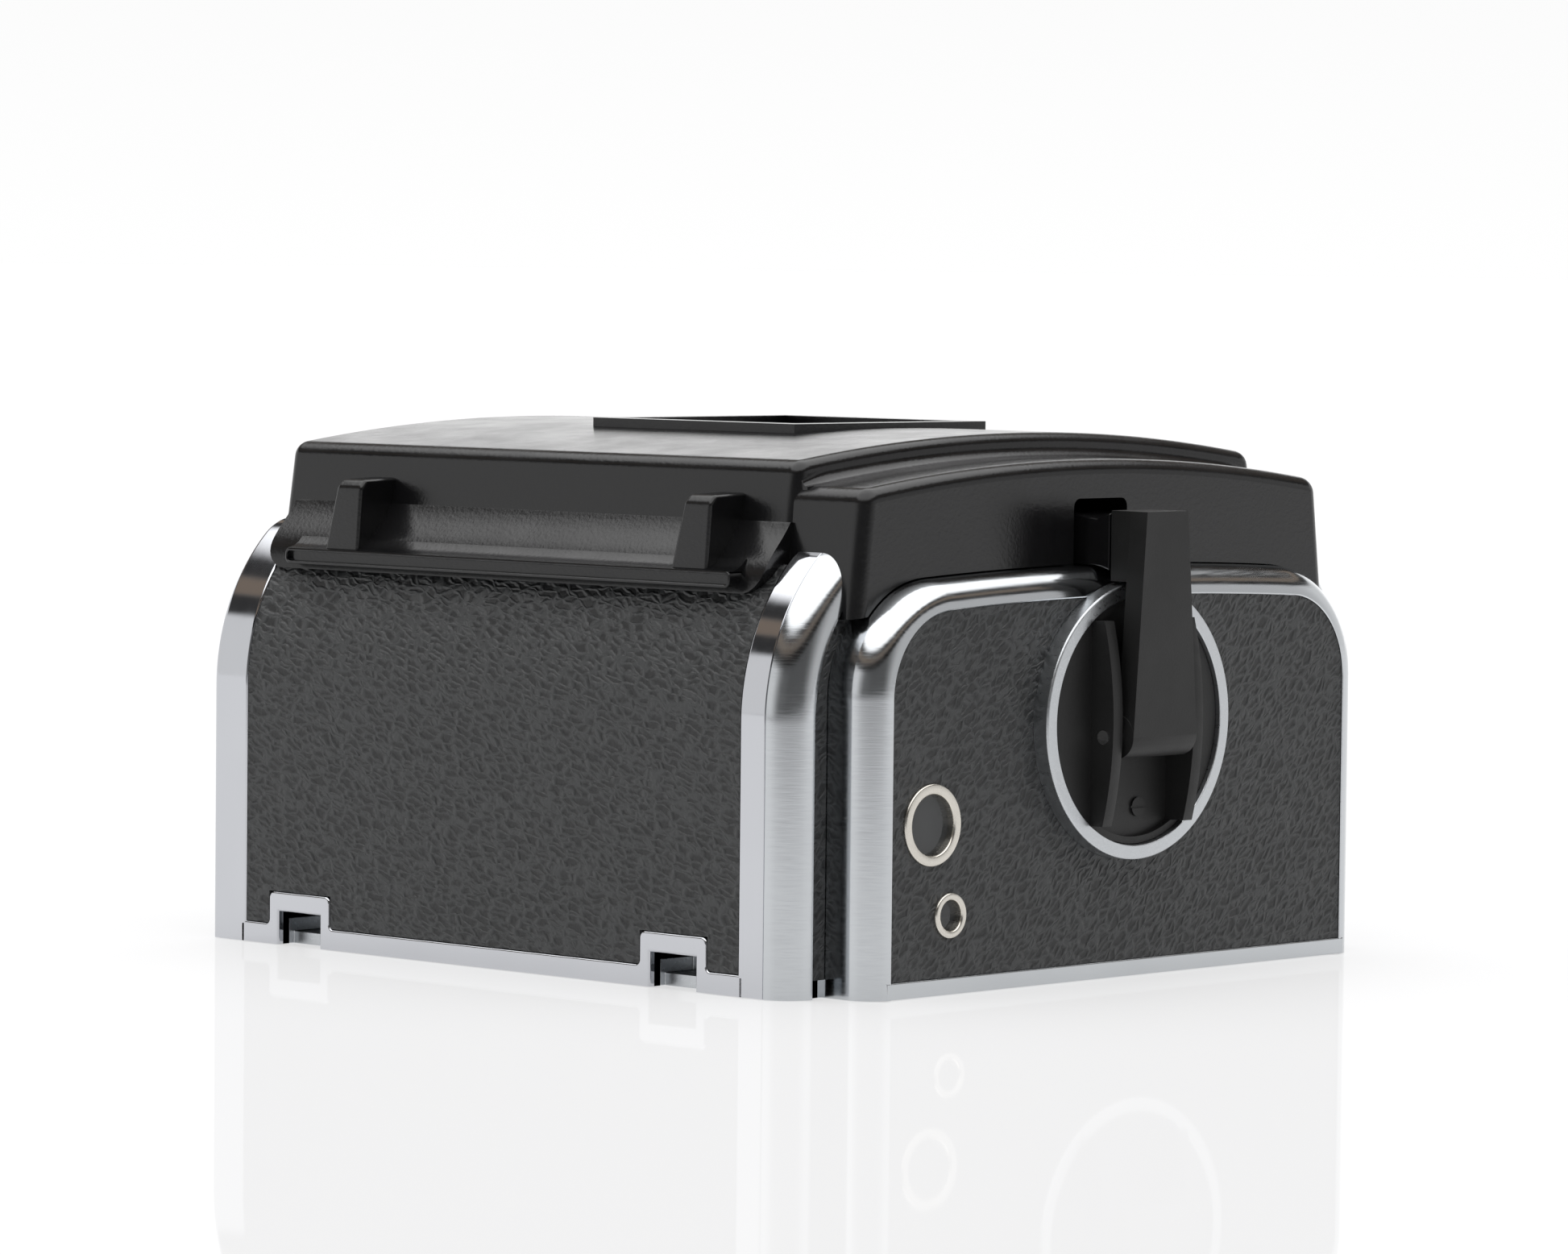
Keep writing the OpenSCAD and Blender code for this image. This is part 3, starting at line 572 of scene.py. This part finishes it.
# Every CAD node gets its slot's finish, and the two end leathers a grain turned their own way
for part in frame["record"]["subparts"]:
    node = nodes[part["node"]]
    node.data.materials.clear()
    node.data.materials.append(MATERIALS[part["material_slot"]])
nodes["margin_leather"].data.materials[0] = LEATHER_END
nodes["end_cap_leather"].data.materials[0] = LEATHER_END


def soften(names, width, segments=3):
    """Weld and bevel modifiers that round a CAD node's edges in the visual model."""
    for name in names:
        node = nodes[name]
        weld = node.modifiers.new("weld", "WELD")
        weld.merge_threshold = WELD_GAP * MM
        edge = node.modifiers.new("round", "BEVEL")
        edge.width = width * MM
        edge.segments = segments
        edge.limit_method = "ANGLE"
        edge.angle_limit = math.radians(SHARP_DEGREES)
        edge.harden_normals = True


# ---------------------------------------------------------------- shell

def quarter(centre_x, radius, steps, full=90.0):
    """Section points (x, inset) of a quarter round that starts flush with the outline."""
    points = []
    for i in range(steps + 1):
        a = math.radians(full * i / steps)
        points.append((centre_x + radius * math.sin(a), radius - radius * math.cos(a)))
    return points


key_trim = rounded([(0, WALL, 0), (0, 0, 0.9), (TRIM_END, 0, 0.3), (TRIM_END, WALL, 0)], 0.3, 6)
crank_trim = rounded([(SKIN_END, WALL, 0), (SKIN_END, 0, 0.3), (SEAM_X, 0, 0.12), (SEAM_X, WALL, 0)],
                     0.3, 4)
shell = both_sides(shell_sweep(key_trim)).add(both_sides(shell_sweep(crank_trim)))
hoop = rounded([(0, WALL, 0), (0, 0, 0.9), (HOOP_L, 0, 0.1), (HOOP_L, WALL, 0)], 0.3, 6)
HOOP_STEPS = 12
shell.add(both_sides(shell_sweep(hoop, [2 + i / HOOP_STEPS for i in range(HOOP_STEPS + 1)] + [4.0])))


def shell_patch(xs, low_z, high_z, outer_inset, inner_inset, keep, cuts=()):
    """Curved plate on the near side of the shell between two heights."""
    flat = sorted({low_z, SHOULDER_Z, *cuts})
    stations = [z / SHOULDER_Z for z in flat]
    limit = 1 + math.asin((high_z - SHOULDER_Z) / SHOULDER_R) / math.asin(
        (RIM_Z - SHOULDER_Z) / SHOULDER_R)
    stations += [1 + (limit - 1) * i / TURN_STEPS for i in range(1, TURN_STEPS + 1)]

    def surface(inset):
        return lambda x, s: (x, *shell_at(s, inset))

    return grid_solid(xs, stations, surface(outer_inset), surface(inner_inset),
                      lambda x, s: keep(x, s * SHOULDER_Z))


def outside(hole):
    """Test for the cells of a plate that lie clear of a rectangle (x, x, z, z)."""
    return lambda x, z: not (hole[0] < x < hole[1] and hole[2] < z < hole[3])


def notch_edges(half):
    """Where the two hooks' columns of the given half width start and end along x."""
    return [n + s * half for n in NOTCHES for s in (-1, 1)]


def from_notch(x):
    """Distance along x to the nearer hook."""
    return min(abs(x - n) for n in NOTCHES)


WALL_X = (TRIM_END - 0.5, SKIN_END + 0.5)
STRIP_X = (TRIM_END - 0.6, SKIN_END + 0.6)
UNDER_SKIN = RECESS + 0.02
near_wall = shell_patch([WALL_X[0], *notch_edges(NOTCH_W / 2), WALL_X[1]], 0.0, RIM_Z, UNDER_SKIN, WALL,
                        lambda x, z: z > NOTCH_H or from_notch(x) > NOTCH_W / 2, cuts=(NOTCH_H,))
BUTTON_HOLE = (38.0, 58.0, 11.0, 17.0)
far_wall = shell_patch([WALL_X[0], *BUTTON_HOLE[:2], WALL_X[1]], 0.0, RIM_Z, UNDER_SKIN, WALL,
                       outside(BUTTON_HOLE), cuts=BUTTON_HOLE[2:]).mirrored()
far_strip = prism([(STRIP_X[0], 0), (STRIP_X[1], 0), (STRIP_X[1], STRIP_H), (STRIP_X[0], STRIP_H)],
                  0, WALL, "y", 0.25,
                  lambda e: all(v.co.y < NEAR and v.co.z > 1 for v in e.verts)).mirrored()
SILL_Y = (WALL - 0.1, WIDTH - WALL + 0.1)
SILL_X = 88
SILL_H = 3
sill = prism([(SILL_Y[0], 0), (SILL_Y[1], 0), (SILL_Y[1], SILL_H), (SILL_Y[0], SILL_H)],
             SILL_X, SEAM_X, "x", 0.2, sharp_edge)
shell.add(near_wall).add(far_wall).add(far_strip).add(sill)
make("shell_chrome", shell, CHROME, "shell", ["main_shell"])

# Lower strip with its two hook frames, one piece as on the real shell
strip = [(STRIP_X[0], 0)]
for n in NOTCHES:
    strip += [(n - NOTCH_W / 2, 0), (n - NOTCH_W / 2, NOTCH_H), (n + NOTCH_W / 2, NOTCH_H),
              (n + NOTCH_W / 2, 0)]
strip += [(STRIP_X[1], 0), (STRIP_X[1], STRIP_H)]
for n in reversed(NOTCHES):
    strip += [(n + FRAME_HALF, STRIP_H, 0.5), (n + FRAME_HALF, FRAME_TOP, 0.8),
              (n - FRAME_HALF, FRAME_TOP, 0.8), (n - FRAME_HALF, STRIP_H, 0.5)]
strip += [(STRIP_X[0], STRIP_H)]


def strip_edge(e):
    """Outer edges of the strip that are rounded: not the foot, and not what tucks under the trims."""
    outer = all(v.co.y < NEAR for v in e.verts)
    foot = all(v.co.z < NEAR for v in e.verts)
    tucked = all(v.co.x < WALL_X[0] or v.co.x > WALL_X[1] for v in e.verts)
    return outer and not foot and not tucked


strip_shape = prism(rounded(strip, 0, 5), 0, WALL, "y", 0.32, strip_edge)
make("hook_strip", strip_shape, CHROME, "shell", ["notch_frames"])

# Rounded end of the shell towards the crank
END_DEPTH = 6.0
ROUND_STEPS = 14
bead = [(SEAM_X, END_DEPTH), (SEAM_X, 0.14), (SEAM_X + 0.14, 0.0)]
bead += quarter(END_X - BEAD_R, BEAD_R, ROUND_STEPS)[1:]
bead += [(END_WALL_X, BEAD_R + 0.02), (END_WALL_X, END_DEPTH)]
end_outline = [shell_at(s, 4.5) for s in SHELL_STATIONS]
end_outline += [(WIDTH - y, z) for y, z in reversed(end_outline)]
end_shape = both_sides(shell_sweep(bead)).add(prism(end_outline, SEAM_X, END_WALL_X))
make("shell_end_round", end_shape, SATIN_CHROME, "shell", ["shell_end_frame"])

# Leather skins
SKIN_TOP = RIM_Z - 0.5
SKIN_GAP = 0.06
SKIN_X = (TRIM_END + SKIN_GAP, SKIN_END - SKIN_GAP)
near_skin = shell_patch([SKIN_X[0], *notch_edges(FRAME_HALF + SKIN_GAP), SKIN_X[1]],
                        STRIP_H + SKIN_GAP, SKIN_TOP, SKIN_LOW, RECESS,
                        lambda x, z: z > FRAME_TOP + SKIN_GAP or from_notch(x) > FRAME_HALF,
                        cuts=(FRAME_TOP + SKIN_GAP,))
make("front_skin", near_skin, LEATHER_SIDE, "shell", ["bottom_leather"])
BEZEL = (36.0, 60.0, 9.0, 19.0)
far_skin = shell_patch([SKIN_X[0], *BEZEL[:2], SKIN_X[1]], STRIP_H + SKIN_GAP, SKIN_TOP, SKIN_LOW, RECESS,
                       outside(BEZEL), cuts=BEZEL[2:]).mirrored()
make("back_skin", far_skin, LEATHER_SIDE, "shell", ["top_leather"])

# ---------------------------------------------------------------- gear housing

section = [(PLATE_BACK, 2.0), (END_WALL_X, 2.0), (END_WALL_X, 0.0)]
section += quarter(HOUSING_X - HOUSING_BEAD, HOUSING_BEAD, ROUND_STEPS, 82.0)
section += [(HOUSING_X, LIP - 0.12), (HOUSING_X - 0.08, LIP), (PLATE_X, LIP + 0.02),
            (PLATE_X, LIP + 0.5), (PLATE_BACK, LIP + 0.5)]
housing = housing_sweep(section)


def housing_outline(inset, low_z):
    """Outline (y, z) of the gear housing at an inset, cut off below low_z."""
    near = []
    for s in HOUSING_STATIONS:
        y, z = housing_at(s, inset)
        near.append((y, max(z, low_z)))
    return near + [(WIDTH - y, z) for y, z in reversed(near[:-1])]


openings = [circle(CRANK, RING_R + OPENING_GAP, 144), circle(COUNTER_WINDOW, COUNTER_R + OPENING_GAP, 60),
            circle(STATUS_WINDOW, STATUS_R + OPENING_GAP, 40)]
housing.add(prism(housing_outline(LIP + 0.3, 0.3), PLATE_BACK, PLATE_X, holes=openings))
FOOT_Y = (HOUSING_IN + 2.5, WIDTH - HOUSING_IN - 2.5)
FOOT_H = 1.9
housing.add(prism([(FOOT_Y[0], 0), (FOOT_Y[1], 0), (FOOT_Y[1], FOOT_H), (FOOT_Y[0], FOOT_H)],
                  END_WALL_X, HOUSING_X, "x", 0.2,
                  lambda e: all(v.co.x > HOUSING_X - NEAR for v in e.verts)))
make("housing_chrome", housing, SATIN_CHROME, "shell", ["gear_housing"])
side_skin = prism(housing_outline(LIP + 0.06, 1.96), PLATE_X, HOUSING_X - SKIN_LOW, holes=openings)
make("side_skin", side_skin, LEATHER_END, "shell", ["side_leather"])

# ---------------------------------------------------------------- crank and windows

ring_profile = rounded([(PLATE_BACK, RING_R, 0), (RING_FACE, RING_R, 0.3),
                        (RING_FACE, RING_IN + 0.1, 0.15), (RING_FACE - 0.8, RING_IN, 0),
                        (PLATE_BACK, RING_IN, 0)], 0.2, 5)
make("crank_ring_turned", lathe(ring_profile, CRANK), MATERIALS["satin_metal"], "shell",
     ["crank_ring"], sharp=25)


def window_ring(name, centre, radius, width, node):
    """Flat ring round one of the two small windows."""
    low, high = WINDOW_X
    profile = rounded([(low, radius, 0), (high, radius, 0.25), (high, radius - width, 0.3),
                       (low, radius - width, 0)], 0.2, 4)
    make(name, lathe(profile, centre, 96), MATERIALS["nickel"], "shell", [node], sharp=25)


window_ring("counter_bezel", COUNTER_WINDOW, COUNTER_R, 1.2, "counter_window_ring")
window_ring("status_bezel", STATUS_WINDOW, STATUS_R, 0.85, "status_window_ring")

# ---------------------------------------------------------------- covers

COVER_TOP = local_box("rear_cover")[1].z
COVER_X = (2.7, 86.4)
COVER_LOW = 48.0
COVER_IN = 8.2
COVER_LEAN = 2.0
COVER_ROUND = 1.5
ARCH_R = 270.0
ARCH_POINTS = 40
SETTLE_STEPS = 30


def cover_outline(low_z, inset, top):
    """Walls from low_z, leaning in towards an arched top."""
    lean = COVER_LEAN / (top - low_z)
    arch_z = top - ARCH_R

    def wall_y(z):
        return inset + lean * (z - low_z)

    # The wall meets the arch where both give the same height; repeating the step settles on it
    z = top
    for _ in range(SETTLE_STEPS):
        z = arch_z + math.sqrt(ARCH_R ** 2 - (MID_Y - wall_y(z)) ** 2)
    edge_y = wall_y(z)
    half = math.degrees(math.asin((MID_Y - edge_y) / ARCH_R))
    top_arc = arc((MID_Y, arch_z), ARCH_R, 90 + half, 90 - half, ARCH_POINTS)
    return [(wall_y(low_z), low_z), *top_arc, (WIDTH - wall_y(low_z), low_z)]


def upper_edge(e):
    """Edges of the rear cover that are rounded: the sharp ones that are not part of its foot."""
    low = min(v.co.z for v in e.verts)
    high = max(v.co.z for v in e.verts)
    clear_of_foot = low > COVER_LOW + 0.6
    upright = high - low > 1
    return high > COVER_LOW + 2 and (clear_of_foot or upright) and sharp_edge(e, 20)


cover = prism(cover_outline(COVER_LOW, COVER_IN, COVER_TOP), *COVER_X, "x", COVER_ROUND, upper_edge, 6)
SKIRT_X = (4.8, 86.0)
SKIRT_FOOT = 44.2
SKIRT_TOP = 52.1
SKIRT_BACK = 9.4
SKIRT_R = 3.0
SKIRT_ROWS = 32
SKIRT_TURN = 8
SKIRT_PROFILE = [(3.9, SKIRT_FOOT), (4.05, 45), (4.35, 46), (4.8, 47), (5.45, 48), (6.3, 49), (7.2, 50),
                 (8.05, 51), (8.8, SKIRT_TOP)]


def skirt_y(z):
    """How far in the skirt's outer face lies at a height, smoothed between its measured points."""
    def straight(height):
        for (y0, z0), (y1, z1) in zip(SKIRT_PROFILE, SKIRT_PROFILE[1:]):
            if height <= z1:
                return y0 + (y1 - y0) * (height - z0) / (z1 - z0)
        return SKIRT_PROFILE[-1][0]

    reach = min(0.8, z - SKIRT_FOOT, SKIRT_TOP - z)
    samples = [straight(z + reach * k / 4) for k in range(-4, 5)]
    return sum(samples) / len(samples)


def skirt_shape():
    """Flared plate over the shoulder: columns along x, the outermost ones rising round the foot's corners."""
    columns = []
    for x_end, sign in zip(SKIRT_X, (1, -1)):
        turn = []
        for i in range(SKIRT_TURN + 1):
            a = math.pi / 2 * i / SKIRT_TURN
            turn.append((x_end + sign * SKIRT_R * (1 - math.sin(a)), SKIRT_R * (1 - math.cos(a))))
        columns += turn[::-sign]
    rings = []
    for x, lift in columns:
        foot = SKIRT_FOOT + lift
        heights = [foot + (SKIRT_TOP - foot) * i / SKIRT_ROWS for i in range(SKIRT_ROWS + 1)]
        back = [(x, SKIRT_BACK, SKIRT_TOP), (x, SKIRT_BACK, foot)]
        rings.append([(x, skirt_y(z), z) for z in heights] + back)
    return tube(rings)


def slanted(section, low_ends, high_ends, low_z, high_z):
    """Solid along x whose two ends lean: their x runs between the given values over the height."""
    rings = []
    for low_x, high_x in zip(low_ends, high_ends):
        shares = [min(max((z - low_z) / (high_z - low_z), 0), 1) for _, z in section]
        rings.append([(low_x + (high_x - low_x) * t, y, z) for t, (y, z) in zip(shares, section)])
    return tube(rings)


def bevelled(shape, width, segments, pick):
    """The shape with the edges that pick accepts rounded."""
    bm = bmesh.new()
    made = [bm.verts.new(v) for v in shape.verts]
    for face in shape.faces:
        bm.faces.new([made[i] for i in face])
    bmesh.ops.recalc_face_normals(bm, faces=bm.faces)
    bmesh.ops.bevel(bm, geom=[e for e in bm.edges if pick(e)], offset=width, segments=segments,
                    profile=0.5, affect="EDGES", clamp_overlap=True)
    return from_bmesh(bm)


def skirt_edge(e):
    """Edges of the skirt that are rounded: the sharp ones clear of its hidden back."""
    return sharp_edge(e, 50) and min(v.co.y for v in e.verts) < SKIRT_BACK - 0.4


skirt = bevelled(skirt_shape(), 0.35, 4, skirt_edge)
BAR_X = (9.7, 82.7)
BAR_Z = (44.8, 46.7)
BAR_Y = 2.5


def framed_bar():
    """Ledge with rounded ends and a groove that stops short of both ends."""
    def ring(inset, y, radius):
        """Outline of the ledge, drawn in by inset, at a distance y."""
        outline = [(BAR_X[0] + inset, BAR_Z[0] + inset), (BAR_X[1] - inset, BAR_Z[0] + inset),
                   (BAR_X[1] - inset, BAR_Z[1] - inset), (BAR_X[0] + inset, BAR_Z[1] - inset)]
        return [(x, y, z) for x, z in rounded(outline, radius, 6)]

    levels = [ring(0, 6.8, 0.7), ring(0, BAR_Y + 0.22, 0.7), ring(0.06, BAR_Y + 0.07, 0.65),
              ring(0.18, BAR_Y, 0.6), ring(0.26, BAR_Y, 0.5), ring(0.35, BAR_Y + 0.07, 0.45),
              ring(0.39, BAR_Y + 0.2, 0.4), ring(0.4, BAR_Y + 0.6, 0.38)]
    return tube(levels)


cove = [(2.8, 46.6), (3.3, 46.72), (4.0, 46.95), (4.6, 47.3), (5.2, 47.95), (6.5, 48.1), (6.5, 46.6)]
cover.add(skirt).add(framed_bar()).add(prism(cove, BAR_X[0] + 0.1, BAR_X[1] - 0.1))
LUG_Z = (46.2, 55.4)
lug_section = [(3.45, LUG_Z[0]), (3.7, 54.0), (4.5, 54.95), (10.0, 55.15), (10.0, LUG_Z[0])]
for lug_x in (18.4, 75.4):
    lug = slanted(lug_section, (lug_x - 2.9, lug_x + 2.8), (lug_x - 0.7, lug_x + 3.2), *LUG_Z)
    cover.add(bevelled(lug, 0.42, 4, lambda e: sharp_edge(e, 30)))
make("rear_cover_shell", cover, BLACK, "shell", ["rear_cover"])

SIDE_TOP = local_box("side_cover")[1].z
SIDE_X = local_box("side_cover")[1].x
SLOT_HALF = 4.6
SLOT_TOP = 54.4
SIDE_LOW = 41.7
SIDE_ROUND = 1.7
SIDE_ARCH_Z = 55.0
SIDE_WALL_Y = 11.5
side_profile = cover_outline(SIDE_LOW, 8.0, SIDE_TOP)
housing_arch = [p for p in housing_outline(-0.15, 0.0) if p[1] > SIDE_LOW]
arch_near = [p for p in housing_arch if p[0] < MID_Y - SLOT_HALF - 0.3]
arch_far = [p for p in housing_arch if p[0] > MID_Y + SLOT_HALF + 0.3]
slot_foot = HOUSING_TOP - 0.6
face_outline = side_profile + list(reversed(arch_far))
face_outline += [(MID_Y + SLOT_HALF, slot_foot), (MID_Y + SLOT_HALF, SLOT_TOP, 1.0),
                 (MID_Y - SLOT_HALF, SLOT_TOP, 1.0), (MID_Y - SLOT_HALF, slot_foot)]
face_outline += list(reversed(arch_near))
face_outline = rounded(face_outline, 0, 5)


def side_edge(e):
    """Edges of the side cover that are rounded: the outer face's walls and arch, and the two top corners."""
    xs = [v.co.x for v in e.verts]
    ys = [v.co.y for v in e.verts]
    zs = [v.co.z for v in e.verts]
    over_top = min(zs) > SIDE_ARCH_Z
    if abs(xs[0] - xs[1]) > 0.1:
        return over_top and sharp_edge(e, 20)
    wall = max(min(y, WIDTH - y) for y in ys) < SIDE_WALL_Y and max(zs) - min(zs) > 5
    return min(xs) > SIDE_X - NEAR and (wall or over_top)


side = prism(face_outline, COVER_X[1] - 1.0, SIDE_X, "x", SIDE_ROUND, side_edge, 7)
FILLET_R = 1.6
FILLET_STEPS = 8
FILLET_STATIONS = 60


def fillet():
    """Concave round where the side cover's arch runs into the rear cover's end wall."""
    wall = side_profile[1][0]
    first = wall + 0.6
    length = WIDTH - 2 * first
    back_x = COVER_X[1] - 0.4
    rings = []
    for k in range(FILLET_STATIONS + 1):
        y = first + length * k / FILLET_STATIONS
        z = SIDE_TOP - ARCH_R + math.sqrt(ARCH_R ** 2 - (MID_Y - y) ** 2)
        near = min(y - wall, WIDTH - wall - y) / 6
        r = FILLET_R * min(1.0, 0.35 + near)
        round_part = arc((COVER_X[1] + r, z + r), r, 270, 180, FILLET_STEPS)
        section = [(back_x, z + r), (back_x, z - 0.5), (COVER_X[1] + r, z - 0.5), *round_part]
        rings.append([(x, y, height) for x, height in section])
    return tube(rings)


make("side_cover_shell", side.add(fillet()), BLACK, "shell", ["side_cover"])

soften(["memo_frame", "crank_rest", "crank_disc", "crank_arm"], 0.3)
soften(["front_plate", "light_trap", "insert_end_cap", "key_hub", "key_bail", "dark_slide_handle",
        "release_button", "front_screws", "dark_slide"], 0.12, 2)

# ---------------------------------------------------------------- studio

FLOOR_SEEN = 0.65
FLOOR_GLOSS = 0.14
FLOOR_TOWARDS = (0.69, -0.724, 0.0)


def mixed(tree, factor, plain, seen):
    """Number that a 0 to 1 factor turns from plain to seen; seen may be a socket."""
    node = tree.nodes.new("ShaderNodeMix")
    link(tree, factor, node.inputs["Factor"])
    link(tree, plain, node.inputs["A"])
    if isinstance(seen, float):
        node.inputs["B"].default_value = seen
    else:
        link(tree, seen, node.inputs["B"])
    return node.outputs["Result"]


def dot_product(tree, vector, direction):
    """How far a vector reaches along a direction."""
    node = tree.nodes.new("ShaderNodeVectorMath")
    node.operation = "DOT_PRODUCT"
    link(tree, vector, node.inputs[0])
    node.inputs[1].default_value = direction
    return node.outputs["Value"]


def camera_ray(tree):
    """1 where the camera looks straight at a surface, 0 in reflections and light."""
    return tree.nodes.new("ShaderNodeLightPath").outputs["Is Camera Ray"]


def floor_material():
    """Pale, slightly glossy floor. It glows evenly to the camera and, in reflections, less towards it."""
    material, tree, shader = new_material("pale_floor")
    haze = noise(tree, coordinates(tree), scale=0.002, detail=2.0)
    link(tree, blend_colour(tree, haze, (0.30, 0.30, 0.304), (0.31, 0.31, 0.314)),
         shader.inputs["Base Color"])
    shader.inputs["Roughness"].default_value = 0.6
    shader.inputs["Specular IOR Level"].default_value = 0.0
    shader.inputs["Emission Color"].default_value = (1, 1, 1, 1)
    towards = dot_product(tree, coordinates(tree), FLOOR_TOWARDS)
    dim = ramp(tree, towards, (280.0, 620.0), (0.62, 0.05), smooth=True)
    link(tree, mixed(tree, camera_ray(tree), dim, FLOOR_SEEN), shader.inputs["Emission Strength"])
    gloss = tree.nodes.new("ShaderNodeBsdfGlossy")
    gloss.inputs["Roughness"].default_value = 0.03
    mix = tree.nodes.new("ShaderNodeMixShader")
    mix.inputs["Fac"].default_value = FLOOR_GLOSS
    output = next(n for n in tree.nodes if n.type == "OUTPUT_MATERIAL")
    link(tree, shader.outputs["BSDF"], mix.inputs[1])
    link(tree, gloss.outputs["BSDF"], mix.inputs[2])
    link(tree, mix.outputs["Shader"], output.inputs["Surface"])
    return material


FLOOR_SIZE = 30.0
FLOOR_Z = -0.0001
floor_mesh = bpy.data.meshes.new("floor")
floor_mesh.from_pydata([(x * FLOOR_SIZE, y * FLOOR_SIZE, FLOOR_Z) for x, y in
                        ((-1, -1), (1, -1), (1, 1), (-1, 1))], [], [(0, 1, 2, 3)])
floor_mesh.materials.append(floor_material())
floor = bpy.data.objects.new("floor", floor_mesh)
bpy.context.scene.collection.objects.link(floor)

# Camera: where it stands from the shell's corner, and how it is turned
CAMERA_AT = (605.2, -536.8, 81.4)
CAMERA_TURN = math.radians(43.626)
CAMERA_TILT = math.radians(3.110)
CAMERA_ROLL = math.radians(0.5926)
CAMERA_LENS = 156.14
CAMERA_SENSOR = 36.0
right = Vector((math.cos(CAMERA_TURN), math.sin(CAMERA_TURN), 0))
back = Vector((math.sin(CAMERA_TURN) * math.cos(CAMERA_TILT),
               -math.cos(CAMERA_TURN) * math.cos(CAMERA_TILT), math.sin(CAMERA_TILT)))
up = back.cross(right)
camera_x = right * math.cos(CAMERA_ROLL) + up * math.sin(CAMERA_ROLL)
camera_y = up * math.cos(CAMERA_ROLL) - right * math.sin(CAMERA_ROLL)
camera_data = bpy.data.cameras.new("camera")
camera_data.lens = CAMERA_LENS
camera_data.sensor_width = CAMERA_SENSOR
camera_data.sensor_fit = "HORIZONTAL"
camera_data.clip_start = 0.01
camera = bpy.data.objects.new("camera", camera_data)
bpy.context.scene.collection.objects.link(camera)
camera.matrix_world = Matrix.Translation(at(*CAMERA_AT)) @ Matrix(
    (camera_x, camera_y, back)).transposed().to_4x4()
bpy.context.scene.camera = camera

# Studio. The camera sees a plain white backdrop. Reflections and light see a room that is brightest
# beyond the part, darker towards the camera and towards +x, nearly dark above a middle height but for
# one warm band, and bright overhead.
BAND_LEVEL = 0.2
world = bpy.data.worlds.new("studio")
world.use_nodes = True
bpy.context.scene.world = world
tree = world.node_tree
background = next(n for n in tree.nodes if n.type == "BACKGROUND")
direction = tree.nodes.new("ShaderNodeTexCoord").outputs["Generated"]
towards = dot_product(tree, direction, (math.sin(CAMERA_TURN), -math.cos(CAMERA_TURN), 0))
split = tree.nodes.new("ShaderNodeSeparateXYZ")
link(tree, direction, split.inputs[0])
height_z = split.outputs["Z"]
low_level = ramp(tree, towards, (0.35, 0.85), (0.85, 0.16), smooth=True)
beyond = ramp(tree, towards, (-0.97, -0.7), (0.5, 0.0), smooth=True)
right_side = ramp(tree, split.outputs["X"], (0.2, 0.6), (1.0, 0.72), smooth=True)
low_level = math_node(tree, "MULTIPLY", math_node(tree, "ADD", low_level, beyond), right_side)
above = ramp(tree, height_z, (0.36, 0.40), (1.0, 0.05), smooth=True)
overhead = ramp(tree, height_z, (0.62, 0.68), (0.0, 1.9), smooth=True)
level = math_node(tree, "ADD", math_node(tree, "MULTIPLY", low_level, above), overhead)
warm_low = ramp(tree, height_z, (0.47, 0.50), (0.0, 1.0), smooth=True)
warm_high = ramp(tree, height_z, (0.55, 0.58), (1.0, 0.0), smooth=True)
warm = math_node(tree, "MULTIPLY", warm_low, warm_high)
level = math_node(tree, "ADD", level, math_node(tree, "MULTIPLY", warm, BAND_LEVEL))
backdrop = ramp(tree, height_z, (0.0, 0.09), (1.0, 0.93))
link(tree, mixed(tree, camera_ray(tree), level, backdrop), background.inputs["Strength"])
tint = blend_colour(tree, warm, (1.0, 1.0, 1.0), (1.0, 0.80, 0.64))
link(tree, tint, background.inputs["Color"])

bpy.context.scene.view_settings.view_transform = "Standard"
